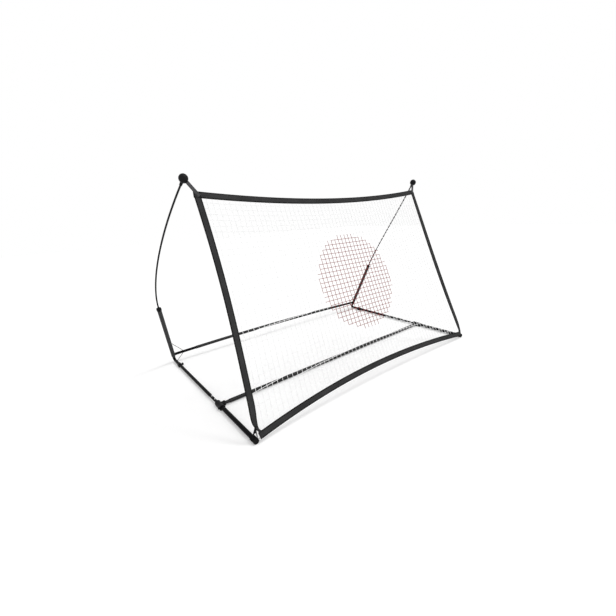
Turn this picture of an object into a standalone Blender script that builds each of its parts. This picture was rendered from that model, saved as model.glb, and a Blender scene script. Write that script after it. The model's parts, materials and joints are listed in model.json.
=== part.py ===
"""Free-standing ball rebounder: a steel floor frame, two bowed poles and a stretched square-mesh net.

Metres, +Z up. X runs along the net's width, with left at -X, and +Y points to the back.
The finished model stands on z = 0 with the middle of its footprint at the origin.
"""
import math

import bmesh
import bpy
from mathutils import Vector

# Floor frame
BASE_WIDTH = 1.500              # between the side tubes' axes at the front
REAR_WIDTH = 1.516              # and at the corners where the sockets rise
BASE_DEPTH = 0.990              # from the front cap faces to those corners
TUBE_AXIS_HEIGHT = 0.012        # axis of the floor tubes above the floor
CROSSBAR_DISTANCE = 0.332       # crossbar axis behind the front
FIT_GAP = 0.0003                # clearance left between pieces that touch, per side
END_GAP = 0.0005                # clearance left where one piece ends against another

# Tubes
FRONT_TUBE_DIAMETER = 0.019
FRONT_TUBE_WALL = 0.0015
REAR_TUBE_DIAMETER = 0.016
REAR_TUBE_WALL = 0.0012
NECK_DIAMETER = 0.013
NECK_WALL = 0.0015
NECK_SHOWN = 0.085              # bare length between the tee and the rear side tube
NECK_INSERTION = 0.045          # length hidden in the tube at each end
CROSSBAR_DIAMETER = 0.019
CROSSBAR_END_DIAMETER = 0.016   # drawn-down ends that plug into the tees
CROSSBAR_END_LENGTH = 0.034
CROSSBAR_WALL = 0.0012
REAR_BAR_DIAMETER = 0.019
REAR_BAR_WALL = 0.0012
REAR_BAR_HEIGHT = 0.053         # where the bar's axis meets the socket's axis
REAR_BAR_ARCH = 0.013           # rise in the middle, from the pull of the poles
REAR_STUB_DIAMETER = 0.016
REAR_STUB_WALL = 0.0012
REAR_STUB_SHOWN = 0.140
REAR_STUB_INSERTION = 0.040

# Front end caps
CAP_DIAMETER = 0.024
CAP_LENGTH = 0.034
CAP_FACE_THICKNESS = 0.003
CAP_GROOVE_DIAMETER = 0.0206    # seat of the corner strap
CAP_GROOVE_START = 0.006
CAP_GROOVE_LENGTH = 0.0135
CAP_EDGE = 0.001                # chamfer round the face

# Tees between side tubes and crossbar
TEE_FRONT_REACH = 0.032
TEE_REAR_REACH = 0.024
TEE_WALL = 0.0036
TEE_BRANCH_REACH = 0.026        # branch mouth from the side tube's axis
TEE_BRANCH_DIAMETER = 0.0245
TEE_SOLE_WIDTH = 0.022
TEE_SCREW_FORWARD = 0.024       # ahead of the crossbar's axis

# Thumb screws, on the outside of each tee and the inside of each lock collar
SCREW_SHANK_DIAMETER = 0.005
TEE_KNOB_DIAMETER = 0.010
TEE_KNOB_LENGTH = 0.003
LOCK_KNOB_DIAMETER = 0.016
LOCK_KNOB_LENGTH = 0.008
SCREW_BOSS_DIAMETER = 0.010
SCREW_BOSS_HEIGHT = 0.0015
SCREW_KNOB_GAP = 0.0005         # between boss and knob
SCREW_LOBES = 6
SCREW_LOBE_DEPTH = 0.16         # of the knob's radius, between two lobes
SCREW_LOBE_POINTS = 4
TEE_KNOB_EDGE = 0.0008          # chamfers of the knobs
LOCK_KNOB_EDGE = 0.0013

# Necks: bush, spring buttons and their clip
BUSH_LENGTH = 0.018
BUSH_FLANGE = 0.003
BUTTON_DIAMETER = 0.006
BUTTON_RISE = 0.0045            # top of the button above the neck's surface
BUTTON_DOME = 0.0015            # height of its rounded top
BUTTON_FIRST = 0.026            # behind the tee
BUTTON_PITCH = 0.035
BUTTON_PLATE_WIDTH = 0.0046
BUTTON_PLATE_LENGTH = 0.009
BUTTON_PLATE_THICKNESS = 0.0008
BUTTON_PLATE_HEIGHT = 0.0032    # underside of the plate above the neck's axis
CLIP_WIDTH = 0.0038
CLIP_THICKNESS = 0.0005
CLIP_HEIGHT = -0.0036           # top of the clip's strip, from the neck's axis
CLIP_ARM_REACH = 0.026          # fold of the clip from the button
CLIP_ARM_REST = 0.0045          # half length of the arm's flat under the button, and of its foot

# Rear corners
ELBOW_RADIUS = 0.011
ELBOW_LEG = 0.096               # from the corner to the joint under the lock collar
ELBOW_RISE = 0.090              # from the corner along the socket, hidden in it
ELBOW_SPIGOT_DIAMETER = 0.013
ELBOW_SPIGOT_LENGTH = 0.035
LOCK_COLLAR_DIAMETER = 0.0225
LOCK_COLLAR_LENGTH = 0.024
LOCK_SOLE_WIDTH = 0.018
BRACE_WIRE_DIAMETER = 0.003
BRACE_SOCKET_HEIGHT = 0.149
BRACE_BAR_REACH = 0.064         # along the rear stub, from the socket's axis
BRACE_SIDE_REACH = 0.038        # along the side tube, from the corner
BRACE_PASS_ANGLE = math.radians(23.0)   # where the wire passes the stub: above its front

# Pole sockets
SOCKET_DIAMETER = 0.022
SOCKET_WALL = 0.0015
SOCKET_FOOT_HEIGHT = 0.041      # lower end of the tube, on its axis
SOCKET_TOP_HEIGHT = 0.379       # top of the collar, on the axis
SOCKET_LEAN_FORWARD = math.radians(21.0)
SOCKET_LEAN_OUT = math.radians(9.8)
COLLAR_DIAMETER = 0.0255
COLLAR_HEIGHT = 0.014
COLLAR_EDGE = 0.00175
COLLAR_SPIGOT = 0.016
SOCKET_BUSH_LENGTH = 0.040

# Poles
POLE_DIAMETER = 0.008
POLE_FOOT_LENGTH = 0.012        # plug that centres the lower section in the socket
POLE_JOINT_GAP = 0.0012         # between lower and upper section, at the collar's mouth
POLE_TIP_INSET = 0.0095         # ball centre inboard of the side tube's axis
POLE_TIP_DISTANCE = 0.396       # ball centre behind the front
POLE_TIP_HEIGHT = 0.974
POLE_TIP_LEAN_FORWARD = math.radians(42.0)
POLE_TIP_LEAN_IN = math.radians(19.2)
POLE_START_PULL = 0.150         # how long the pole keeps the socket's direction
POLE_END_PULL = 0.292           # how early it takes the tip's direction
BALL_DIAMETER = 0.037
BALL_NECK_DIAMETER = 0.0130
BALL_NECK_REACH = 0.033         # end of the neck from the ball's centre
BALL_BORE_DEPTH = 0.0045        # past the ball's centre

# Net
NET_BOTTOM_INSET = 0.008        # border centre line inboard of the side tube's axis
NET_BOTTOM_DISTANCE = -0.002
NET_BOTTOM_HEIGHT = 0.030
NET_TOP_INSET = 0.0365          # border corner from the ball's centre, inward
NET_TOP_FORWARD = 0.021         # and towards the front
NET_TOP_DROP = 0.061            # and down
NET_SIDE_BOW = 0.011            # how far the stretched edges draw in at their middles
NET_TOP_SAG = 0.040
NET_BOTTOM_RISE = 0.053
BORDER_WIDTH = 0.027
BORDER_THICKNESS = 0.003
STRAND_WIDTH = 0.003
STRAND_THICKNESS = 0.002
NET_GAPS_ACROSS = 18
NET_GAPS_UP = 11
TARGET_RADIUS = 0.245
TOP_STRAP_WIDTH = 0.016
TOP_STRAP_THICKNESS = 0.003     # two layers of webbing
TOP_STRAP_SHIFT = 0.0020        # the strap's axis passes this far inboard of the ball's centre
TOP_STRAP_SLOT_START = 0.009    # bottom of the ball's slot, from its centre
TOP_STRAP_OVERLAP = 0.010       # how far the strap runs down over the border's corner
BOTTOM_STRAP_WIDTH = 0.007
BOTTOM_STRAP_THICKNESS = 0.0012
BOTTOM_STRAP_NOSE = 0.0045      # radius of the strap's turn at the net's corner
BOTTOM_STRAP_RISE = 0.032       # centre of that turn above the tube's axis
BOTTOM_STRAP_INSET = 0.004      # and inboard of it

# Fineness of round shapes
ROUND = 20
ROUND_SMALL = 12
SHARP_ANGLE = math.radians(35)
WELD = 0.000001

SIDES = (("left", -1), ("right", 1))
UP = Vector((0, 0, 1))
BACK = Vector((0, 1, 0))


def clear_scene():
    for old in list(bpy.data.objects):
        bpy.data.objects.remove(old, do_unlink=True)


def surface(name, colour, roughness, metallic):
    """Principled material; made once and shared by name."""
    found = bpy.data.materials.get(name)
    if found:
        return found
    made = bpy.data.materials.new(name)
    made.use_nodes = True
    shader = made.node_tree.nodes["Principled BSDF"]
    shader.inputs["Base Color"].default_value = (*colour, 1.0)
    shader.inputs["Roughness"].default_value = roughness
    shader.inputs["Metallic"].default_value = metallic
    made.diffuse_color = (*colour, 1.0)
    return made


def powder_coat():
    return surface("black_powder_coat", (0.022, 0.022, 0.023), 0.42, 0.25)


def moulded_plastic():
    return surface("black_moulded_plastic", (0.018, 0.018, 0.019), 0.50, 0.0)


def black_rubber():
    return surface("black_rubber", (0.015, 0.015, 0.015), 0.75, 0.0)


def spring_steel():
    return surface("spring_steel", (0.55, 0.55, 0.56), 0.30, 1.0)


def fibreglass():
    return surface("black_fibreglass", (0.020, 0.020, 0.021), 0.30, 0.0)


def border_webbing():
    return surface("charcoal_webbing", (0.040, 0.040, 0.042), 0.85, 0.0)


def strap_webbing():
    return surface("grey_strap", (0.075, 0.075, 0.080), 0.85, 0.0)


def white_net():
    return surface("white_net_cord", (0.86, 0.86, 0.86), 0.80, 0.0)


def red_net():
    return surface("red_net_cord", (0.70, 0.10, 0.10), 0.80, 0.0)


# Building tools

def add_object(name, bm, finish, location=(0, 0, 0), axis=None):
    """Turns a bmesh into a named object; with axis given, its local +Z points that way."""
    bmesh.ops.recalc_face_normals(bm, faces=bm.faces)
    mesh = bpy.data.meshes.new(name)
    bm.to_mesh(mesh)
    bm.free()
    mesh.shade_smooth()
    mesh.set_sharp_from_angle(angle=SHARP_ANGLE)
    mesh.materials.append(finish)
    obj = bpy.data.objects.new(name, mesh)
    obj.location = location
    if axis is not None:
        obj.rotation_mode = "QUATERNION"
        obj.rotation_quaternion = UP.rotation_difference(Vector(axis))
    bpy.context.collection.objects.link(obj)
    return obj


def turned(profile, segments=ROUND, closed=True):
    """Bmesh of a (radius, height) profile spun about Z."""
    bm = bmesh.new()
    verts = [bm.verts.new((radius, 0, height)) for radius, height in profile]
    pairs = list(zip(verts, verts[1:]))
    if closed:
        pairs.append((verts[-1], verts[0]))
    edges = [bm.edges.new(pair) for pair in pairs]
    bmesh.ops.spin(bm, geom=verts + edges, cent=(0, 0, 0), axis=(0, 0, 1), angle=math.tau,
                   steps=segments, use_merge=True, use_duplicate=False)
    bmesh.ops.remove_doubles(bm, verts=bm.verts, dist=WELD)
    return bm


def tube_profile(outer, wall, length):
    return [(outer - wall, 0), (outer, 0), (outer, length), (outer - wall, length)]


def straight_tube(name, start, end, diameter, wall, finish):
    start = Vector(start)
    run = Vector(end) - start
    profile = tube_profile(diameter / 2, wall, run.length)
    return add_object(name, turned(profile), finish, start, run)


def cylinder(radius, length, segments=ROUND):
    """Solid cylinder standing on the origin."""
    return turned([(0, 0), (radius, 0), (radius, length), (0, length)], segments, closed=False)


def block(size):
    """Box centred on the origin."""
    bm = bmesh.new()
    bmesh.ops.create_cube(bm, size=1.0)
    bmesh.ops.scale(bm, vec=size, verts=bm.verts)
    return bm


def guide(name, bm, location=(0, 0, 0), axis=None):
    """A cutter or an added shape, used by a Boolean and left out of the model."""
    obj = add_object(name, bm, moulded_plastic(), location, axis)
    obj.hide_render = True
    obj.display_type = "WIRE"
    return obj


def combine(obj, others, operation):
    """Joins guides to an object, or cuts them out of it, all in one Boolean."""
    group = bpy.data.collections.new(f"{obj.name}_{operation.lower()}")
    for other in others:
        group.objects.link(other)
    modifier = obj.modifiers.new(operation.lower(), "BOOLEAN")
    modifier.operation = operation
    modifier.operand_type = "COLLECTION"
    modifier.collection = group
    modifier.solver = "EXACT"


def frames_along(path):
    """Position and two cross directions at each point of a path, without twist."""
    points = [Vector(point) for point in path]
    last = len(points) - 1
    tangents = [(points[min(i + 1, last)] - points[max(i - 1, 0)]).normalized() for i in range(last + 1)]
    across = tangents[0].orthogonal().normalized()
    frames = []
    for point, tangent in zip(points, tangents):
        across = (across - tangent * across.dot(tangent)).normalized()
        frames.append((point, across, tangent.cross(across)))
    return frames


def ring(bm, frame, radius, segments):
    centre, across, beside = frame
    angles = [math.tau * i / segments for i in range(segments)]
    return [bm.verts.new(centre + (across * math.cos(a) + beside * math.sin(a)) * radius) for a in angles]


def join_rings(bm, first, second):
    count = len(first)
    for i in range(count):
        j = (i + 1) % count
        bm.faces.new((first[i], first[j], second[j], second[i]))


def bent_pipe(sections, segments=ROUND):
    """Hollow pipe; sections holds (frame, outer radius, inner radius) from end to end."""
    bm = bmesh.new()
    outer = [ring(bm, frame, radius, segments) for frame, radius, _ in sections]
    inner = [ring(bm, frame, radius, segments) for frame, _, radius in sections]
    for walls in (outer, inner):
        for first, second in zip(walls, walls[1:]):
            join_rings(bm, first, second)
    join_rings(bm, outer[0], inner[0])
    join_rings(bm, outer[-1], inner[-1])
    return bm


def wire(name, path, diameter, finish, resolution=2, origin=(0, 0, 0)):
    """Round bar along a path: a poly curve with a bevel and filled caps."""
    curve = bpy.data.curves.new(name, "CURVE")
    curve.dimensions = "3D"
    curve.bevel_depth = diameter / 2
    curve.bevel_resolution = resolution
    curve.use_fill_caps = True
    spline = curve.splines.new("POLY")
    spline.points.add(len(path) - 1)
    for point, place in zip(spline.points, path):
        point.co = (*(Vector(place) - Vector(origin)), 1.0)
    spline.use_smooth = True
    curve.materials.append(finish)
    obj = bpy.data.objects.new(name, curve)
    obj.location = origin
    bpy.context.collection.objects.link(obj)
    return obj


def bezier(start, pull_start, pull_end, end, steps):
    points = []
    for i in range(steps + 1):
        t = i / steps
        u = 1 - t
        points.append(start * u ** 3 + pull_start * 3 * u * u * t + pull_end * 3 * u * t * t + end * t ** 3)
    return points


# Places shared by several pieces

def side_axis(side, distance):
    """Point on a side tube's axis, a distance behind the front."""
    splay = (REAR_WIDTH - BASE_WIDTH) / 2 * distance / BASE_DEPTH
    return Vector((side * (BASE_WIDTH / 2 + splay), distance, TUBE_AXIS_HEIGHT))


def corner(side):
    return side_axis(side, BASE_DEPTH)


def tube_run(side):
    """Direction of a side tube, from front to back."""
    return (corner(side) - side_axis(side, 0)).normalized()


def tube_turn(side):
    """Turn about Z that brings +Y onto a side tube's run."""
    run = tube_run(side)
    return 0, 0, math.atan2(-run.x, run.y)


def inward(side):
    return Vector((-side, 0, 0))


def socket_direction(side):
    lean = (side * math.tan(SOCKET_LEAN_OUT), -math.tan(SOCKET_LEAN_FORWARD), 1.0)
    return Vector(lean).normalized()


def socket_point(side, height):
    direction = socket_direction(side)
    return corner(side) + direction * ((height - TUBE_AXIS_HEIGHT) / direction.z)


def pole_hinge(side):
    return socket_point(side, SOCKET_TOP_HEIGHT)


def pole_tip(side):
    return Vector((side * (BASE_WIDTH / 2 - POLE_TIP_INSET), POLE_TIP_DISTANCE, POLE_TIP_HEIGHT))


def tip_direction(side):
    lean = (-side * math.tan(POLE_TIP_LEAN_IN), -math.tan(POLE_TIP_LEAN_FORWARD), 1.0)
    return Vector(lean).normalized()


def rear_bar_point(x):
    """Axis of the rear bar and its stubs, a shallow arch between the sockets."""
    end = socket_point(1, REAR_BAR_HEIGHT)
    rise = REAR_BAR_ARCH * (1 - (x / end.x) ** 2)
    return Vector((x, end.y, REAR_BAR_HEIGHT + rise))


def tee_rear():
    return CROSSBAR_DISTANCE + TEE_REAR_REACH


def rear_tube_front():
    return tee_rear() + NECK_SHOWN


def lock_distance():
    """Joint between rear side tube and elbow, in the middle of the lock collar."""
    return BASE_DEPTH - ELBOW_LEG


def button_distances():
    first = tee_rear() + BUTTON_FIRST
    return first, first + BUTTON_PITCH


# Floor frame

def front_side_tube(name, side):
    start = side_axis(side, CAP_FACE_THICKNESS + FIT_GAP)
    end = side_axis(side, tee_rear() - BUSH_FLANGE - FIT_GAP)
    straight_tube(f"front_side_tube_{name}", start, end, FRONT_TUBE_DIAMETER, FRONT_TUBE_WALL, powder_coat())


def front_end_cap(name, side):
    outer = CAP_DIAMETER / 2
    bore = FRONT_TUBE_DIAMETER / 2 + FIT_GAP
    groove = CAP_GROOVE_DIAMETER / 2
    groove_end = CAP_GROOVE_START + CAP_GROOVE_LENGTH
    profile = [(0, 0), (outer - CAP_EDGE, 0), (outer, CAP_EDGE), (outer, CAP_GROOVE_START),
               (groove, CAP_GROOVE_START), (groove, groove_end), (outer, groove_end), (outer, CAP_LENGTH),
               (bore, CAP_LENGTH), (bore, CAP_FACE_THICKNESS), (0, CAP_FACE_THICKNESS)]
    cap = turned(profile, closed=False)
    add_object(f"front_end_cap_{name}", cap, black_rubber(), side_axis(side, 0), tube_run(side))


def screw_boss(name, place, axis, wall, length):
    """Guides for the raised seat of a thumb screw and for its hole, out of a wall round a tube."""
    seat = cylinder(SCREW_BOSS_DIAMETER / 2, wall + SCREW_BOSS_HEIGHT, ROUND_SMALL)
    hole = cylinder(SCREW_SHANK_DIAMETER / 2 + FIT_GAP, length, ROUND_SMALL)
    return guide(f"{name}_seat", seat, place, axis), guide(f"{name}_hole", hole, place, axis)


def tee(name, side):
    """Moulded block round the side tube with a branch for the crossbar, flat underneath."""
    axis = side_axis(side, CROSSBAR_DISTANCE)
    front = side_axis(side, CROSSBAR_DISTANCE - TEE_FRONT_REACH)
    length = TEE_FRONT_REACH + TEE_REAR_REACH
    bore = FRONT_TUBE_DIAMETER / 2 + FIT_GAP
    shell = bore + TEE_WALL
    run = tube_run(side)
    body = add_object(f"tee_{name}", cylinder(shell, length), moulded_plastic(), front, run)

    branch_solid = cylinder(TEE_BRANCH_DIAMETER / 2, TEE_BRANCH_REACH)
    branch = guide(f"tee_branch_{name}", branch_solid, axis, inward(side))
    sole_size = (TEE_SOLE_WIDTH, length - 2 * END_GAP, 2 * TUBE_AXIS_HEIGHT)
    sole = guide(f"tee_sole_{name}", block(sole_size), (axis.x, front.y + length / 2, 0))
    screw_place = side_axis(side, CROSSBAR_DISTANCE - TEE_SCREW_FORWARD)
    seat, screw_hole = screw_boss(f"tee_screw_{name}", screw_place, -inward(side), shell, length)
    combine(body, (branch, sole, seat), "UNION")

    floor = guide(f"tee_floor_{name}", block((length, 2 * length, length)), (axis.x, axis.y, -length / 2))
    tube_hole = guide(f"tee_tube_hole_{name}", cylinder(bore, 2 * length), front - run * (length / 2), run)
    plug_radius = CROSSBAR_END_DIAMETER / 2 + FIT_GAP
    plug_hole = guide(f"tee_plug_hole_{name}", cylinder(plug_radius, length), axis, inward(side))
    combine(body, (floor, tube_hole, plug_hole, screw_hole), "DIFFERENCE")


def thumb_screw(name, place, axis, walls, knob):
    """Screw with a lobed knob, turning about its own axis.

    walls holds the radii where the tube and its sleeve end, knob its radius, length and chamfer.
    """
    radius, length, edge = knob
    start = walls[0] + FIT_GAP
    low = walls[1] + SCREW_BOSS_HEIGHT + SCREW_KNOB_GAP
    high = low + length
    shank = SCREW_SHANK_DIAMETER / 2
    profile = [(0, start), (shank, start), (shank, low), (radius - edge, low), (radius, low + edge),
               (radius, high - edge), (radius - edge, high), (0, high)]
    bm = turned(profile, SCREW_LOBES * SCREW_LOBE_POINTS, closed=False)
    for vert in bm.verts:
        if math.hypot(vert.co.x, vert.co.y) > shank + WELD:
            wave = math.cos(SCREW_LOBES * math.atan2(vert.co.y, vert.co.x))
            shrink = 1 - SCREW_LOBE_DEPTH * (1 - wave) / 2
            vert.co.x *= shrink
            vert.co.y *= shrink
    add_object(name, bm, moulded_plastic(), place, axis)


def tee_screw(name, side):
    place = side_axis(side, CROSSBAR_DISTANCE - TEE_SCREW_FORWARD)
    tube = FRONT_TUBE_DIAMETER / 2
    walls = (tube, tube + FIT_GAP + TEE_WALL)
    knob = (TEE_KNOB_DIAMETER / 2, TEE_KNOB_LENGTH, TEE_KNOB_EDGE)
    thumb_screw(f"tee_screw_{name}", place, -inward(side), walls, knob)


def crossbar():
    """Tube with drawn-down ends, plugged into both tees."""
    plug = CROSSBAR_END_DIAMETER / 2
    outer = CROSSBAR_DIAMETER / 2
    bore = plug - CROSSBAR_WALL
    clear = FRONT_TUBE_DIAMETER / 2 + FIT_GAP + END_GAP
    start = side_axis(-1, CROSSBAR_DISTANCE) + Vector((clear, 0, 0))
    length = -2 * start.x
    step = CROSSBAR_END_LENGTH
    taper = outer - plug
    profile = [(bore, 0), (plug, 0), (plug, step), (outer, step + taper),
               (outer, length - step - taper), (plug, length - step), (plug, length), (bore, length)]
    add_object("crossbar", turned(profile), powder_coat(), start, Vector((1, 0, 0)))


def neck_bush(name, side):
    """Flanged ring that centres the neck in the end of the front side tube."""
    outer = FRONT_TUBE_DIAMETER / 2 - FRONT_TUBE_WALL - FIT_GAP
    flange = FRONT_TUBE_DIAMETER / 2
    bore = NECK_DIAMETER / 2 + FIT_GAP
    profile = [(bore, 0), (outer, 0), (outer, BUSH_LENGTH), (flange, BUSH_LENGTH),
               (flange, BUSH_LENGTH + BUSH_FLANGE), (bore, BUSH_LENGTH + BUSH_FLANGE)]
    start = side_axis(side, tee_rear() - BUSH_FLANGE - BUSH_LENGTH)
    add_object(f"neck_bush_{name}", turned(profile), moulded_plastic(), start, tube_run(side))


def neck_tube(name, side):
    """Thin tube between front and rear side tubes, with a hole on top for each spring button."""
    start = side_axis(side, tee_rear() - NECK_INSERTION)
    end = side_axis(side, rear_tube_front() + NECK_INSERTION)
    neck = straight_tube(f"neck_tube_{name}", start, end, NECK_DIAMETER, NECK_WALL, powder_coat())
    holes = []
    for number, distance in enumerate(button_distances(), 1):
        hole = cylinder(BUTTON_DIAMETER / 2 + FIT_GAP, NECK_DIAMETER, ROUND_SMALL)
        holes.append(guide(f"button_hole_{name}_{number}", hole, side_axis(side, distance)))
    combine(neck, holes, "DIFFERENCE")


def snap_button(name, side, number):
    """Domed button on a small plate that stays inside the neck; it travels straight down."""
    place = side_axis(side, button_distances()[number - 1])
    radius = BUTTON_DIAMETER / 2
    top = NECK_DIAMETER / 2 + BUTTON_RISE
    shoulder = top - BUTTON_DOME
    base = BUTTON_PLATE_HEIGHT + BUTTON_PLATE_THICKNESS / 2
    profile = [(0, base), (radius, base), (radius, shoulder)]
    for angle in (math.pi / 6, math.pi / 3):
        profile.append((radius * math.cos(angle), shoulder + BUTTON_DOME * math.sin(angle)))
    profile.append((0, top))
    stud = guide(f"button_stud_{name}_{number}", turned(profile, ROUND_SMALL, closed=False), place)
    plate = block((BUTTON_PLATE_WIDTH, BUTTON_PLATE_LENGTH, BUTTON_PLATE_THICKNESS))
    bmesh.ops.translate(plate, vec=(0, 0, base), verts=plate.verts)
    button = add_object(f"snap_button_{name}_{number}", plate, spring_steel(), place)
    button.rotation_euler = tube_turn(side)
    combine(button, [stud], "UNION")


def ribbon(points, width, thickness):
    """Strip of sheet metal bent along points in the YZ plane, its underside on the points."""
    bm = bmesh.new()
    rings = []
    for y, z in points:
        rings.append([bm.verts.new((x, y, z + lift)) for x, lift in
                      ((-width / 2, 0), (width / 2, 0), (width / 2, thickness), (-width / 2, thickness))])
    for first, second in zip(rings, rings[1:]):
        join_rings(bm, first, second)
    bm.faces.new(rings[0])
    bm.faces.new(rings[-1])
    return bm


def clip_arm(name, side, number):
    """Springy arm of the clip, rising from its fold to the underside of a button's plate."""
    place = side_axis(side, button_distances()[number - 1])
    away = -1 if number == 1 else 1
    low = CLIP_HEIGHT + FIT_GAP
    high = BUTTON_PLATE_HEIGHT - FIT_GAP - CLIP_THICKNESS
    foot = CLIP_ARM_REACH - CLIP_ARM_REST
    points = [(away * CLIP_ARM_REACH, low), (away * foot, low), (away * CLIP_ARM_REST, high),
              (-away * CLIP_ARM_REST, high)]
    bm = ribbon(points, CLIP_WIDTH, CLIP_THICKNESS)
    arm = add_object(f"clip_arm_{name}_{number}", bm, spring_steel(), place)
    arm.rotation_euler = tube_turn(side)


def button_clip(name, side):
    """Strip of the spring clip that lies along the bottom of the neck under both arms."""
    first, last = button_distances()
    middle = side_axis(side, (first + last) / 2)
    half = (last - first) / 2 + CLIP_ARM_REACH
    bottom = CLIP_HEIGHT - CLIP_THICKNESS
    bm = ribbon([(-half, bottom), (half, bottom)], CLIP_WIDTH, CLIP_THICKNESS)
    clip = add_object(f"button_clip_{name}", bm, spring_steel(), middle)
    clip.rotation_euler = tube_turn(side)


def rear_side_tube(name, side):
    start = side_axis(side, rear_tube_front())
    end = side_axis(side, lock_distance() - END_GAP / 2)
    straight_tube(f"rear_side_tube_{name}", start, end, REAR_TUBE_DIAMETER, REAR_TUBE_WALL, powder_coat())


# Rear corners

def elbow(name, side):
    """Bent tube from the side tube up into the socket, with a drawn-down spigot at its front end."""
    run = tube_run(side)
    rise = socket_direction(side)
    turn = math.acos(run.dot(rise))
    bend_start = corner(side) - run * (ELBOW_RADIUS * math.tan(turn / 2))
    normal = (rise - run * run.dot(rise)).normalized()
    centre = bend_start + normal * ELBOW_RADIUS
    joint = side_axis(side, lock_distance() + END_GAP / 2)
    steps = 5
    path = [joint - run * ELBOW_SPIGOT_LENGTH, joint, joint]
    for i in range(steps + 1):
        angle = turn * i / steps
        path.append(centre + (run * math.sin(angle) - normal * math.cos(angle)) * ELBOW_RADIUS)
    path.append(corner(side) + rise * ELBOW_RISE)
    spigot = ELBOW_SPIGOT_DIAMETER / 2
    bore = spigot - REAR_TUBE_WALL
    radii = [spigot, spigot] + [REAR_TUBE_DIAMETER / 2] * (len(path) - 2)
    sections = [(frame, radius, bore) for frame, radius in zip(frames_along(path), radii)]
    bm = bent_pipe(sections)
    bmesh.ops.remove_doubles(bm, verts=bm.verts, dist=WELD)
    add_object(f"elbow_{name}", bm, powder_coat())


def lock_collar(name, side):
    """Collar over the joint of side tube and elbow, with a flat sole and a thumb screw inside."""
    middle = side_axis(side, lock_distance())
    run = tube_run(side)
    start = middle - run * (LOCK_COLLAR_LENGTH / 2)
    outer = LOCK_COLLAR_DIAMETER / 2
    collar = cylinder(outer, LOCK_COLLAR_LENGTH)
    body = add_object(f"lock_collar_{name}", collar, moulded_plastic(), start, run)
    sole_size = (LOCK_SOLE_WIDTH, LOCK_COLLAR_LENGTH - 2 * END_GAP, TUBE_AXIS_HEIGHT)
    sole = guide(f"lock_sole_{name}", block(sole_size), middle - UP * (TUBE_AXIS_HEIGHT / 2))
    seat, screw_hole = screw_boss(f"lock_screw_{name}", middle, inward(side), outer, LOCK_COLLAR_LENGTH)
    combine(body, (sole, seat), "UNION")
    bore = cylinder(REAR_TUBE_DIAMETER / 2 + FIT_GAP, 2 * LOCK_COLLAR_LENGTH)
    tube_hole = guide(f"lock_tube_hole_{name}", bore, start - run * (LOCK_COLLAR_LENGTH / 2), run)
    combine(body, (tube_hole, screw_hole), "DIFFERENCE")


def lock_screw(name, side):
    place = side_axis(side, lock_distance())
    walls = (REAR_TUBE_DIAMETER / 2, LOCK_COLLAR_DIAMETER / 2)
    knob = (LOCK_KNOB_DIAMETER / 2, LOCK_KNOB_LENGTH, LOCK_KNOB_EDGE)
    thumb_screw(f"lock_screw_{name}", place, inward(side), walls, knob)


def pole_socket(name, side):
    start = socket_point(side, SOCKET_FOOT_HEIGHT)
    end = socket_point(side, SOCKET_TOP_HEIGHT) - socket_direction(side) * (COLLAR_HEIGHT + FIT_GAP)
    straight_tube(f"pole_socket_{name}", start, end, SOCKET_DIAMETER, SOCKET_WALL, powder_coat())


def socket_collar(name, side):
    """Plastic mouth of the socket: a ring on top and a spigot inside, bored for the pole."""
    direction = socket_direction(side)
    outer = COLLAR_DIAMETER / 2
    spigot = SOCKET_DIAMETER / 2 - SOCKET_WALL - FIT_GAP
    bore = POLE_DIAMETER / 2 + FIT_GAP
    total = COLLAR_SPIGOT + COLLAR_HEIGHT
    profile = [(bore, 0), (spigot, 0), (spigot, COLLAR_SPIGOT), (outer, COLLAR_SPIGOT),
               (outer, total - COLLAR_EDGE), (outer - COLLAR_EDGE, total), (bore, total)]
    start = pole_hinge(side) - direction * total
    add_object(f"socket_collar_{name}", turned(profile), moulded_plastic(), start, direction)


def socket_bush(name, side):
    """Sleeve that fills the space between the elbow's upright and the socket tube."""
    direction = socket_direction(side)
    outer = SOCKET_DIAMETER / 2 - SOCKET_WALL - FIT_GAP
    wall = outer - REAR_TUBE_DIAMETER / 2 - FIT_GAP
    start = socket_point(side, SOCKET_FOOT_HEIGHT) + direction * END_GAP
    profile = tube_profile(outer, wall, SOCKET_BUSH_LENGTH)
    add_object(f"socket_bush_{name}", turned(profile), moulded_plastic(), start, direction)


def bar_frames(first_x, last_x, steps):
    xs = [first_x + (last_x - first_x) * i / steps for i in range(steps + 1)]
    return frames_along([rear_bar_point(x) for x in xs])


def rear_bar_end():
    """Half length of the rear bar's thick middle."""
    return socket_point(1, REAR_BAR_HEIGHT).x - REAR_STUB_SHOWN


def rear_bar():
    outer = REAR_BAR_DIAMETER / 2
    half = rear_bar_end()
    frames = bar_frames(-half, half, 10)
    sections = [(frame, outer, outer - REAR_BAR_WALL) for frame in frames]
    add_object("rear_bar", bent_pipe(sections), powder_coat())


def rear_bar_stub(name, side):
    """Thin end of the rear bar, coped round the socket and plugged into the bar."""
    joint = socket_point(side, REAR_BAR_HEIGHT)
    outer = REAR_STUB_DIAMETER / 2
    tip = side * (rear_bar_end() - REAR_STUB_INSERTION)
    frames = bar_frames(joint.x, tip, 2)
    sections = [(frame, outer, outer - REAR_STUB_WALL) for frame in frames]
    stub = add_object(f"rear_bar_stub_{name}", bent_pipe(sections), powder_coat())
    reach = 4 * SOCKET_DIAMETER
    cope = guide(f"stub_cope_{name}", cylinder(SOCKET_DIAMETER / 2 + FIT_GAP, 2 * reach),
                 joint - socket_direction(side) * reach, socket_direction(side))
    combine(stub, [cope], "DIFFERENCE")


def clear_of(place, axis, radius, towards):
    """Where a wire coming to a tube ends just short of its surface."""
    run = (towards - place).normalized()
    along = abs(run.dot(axis))
    off_axis = math.sqrt(1 - along * along)
    return place + run * ((radius + FIT_GAP + BRACE_WIRE_DIAMETER / 2 * along) / off_axis)


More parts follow.
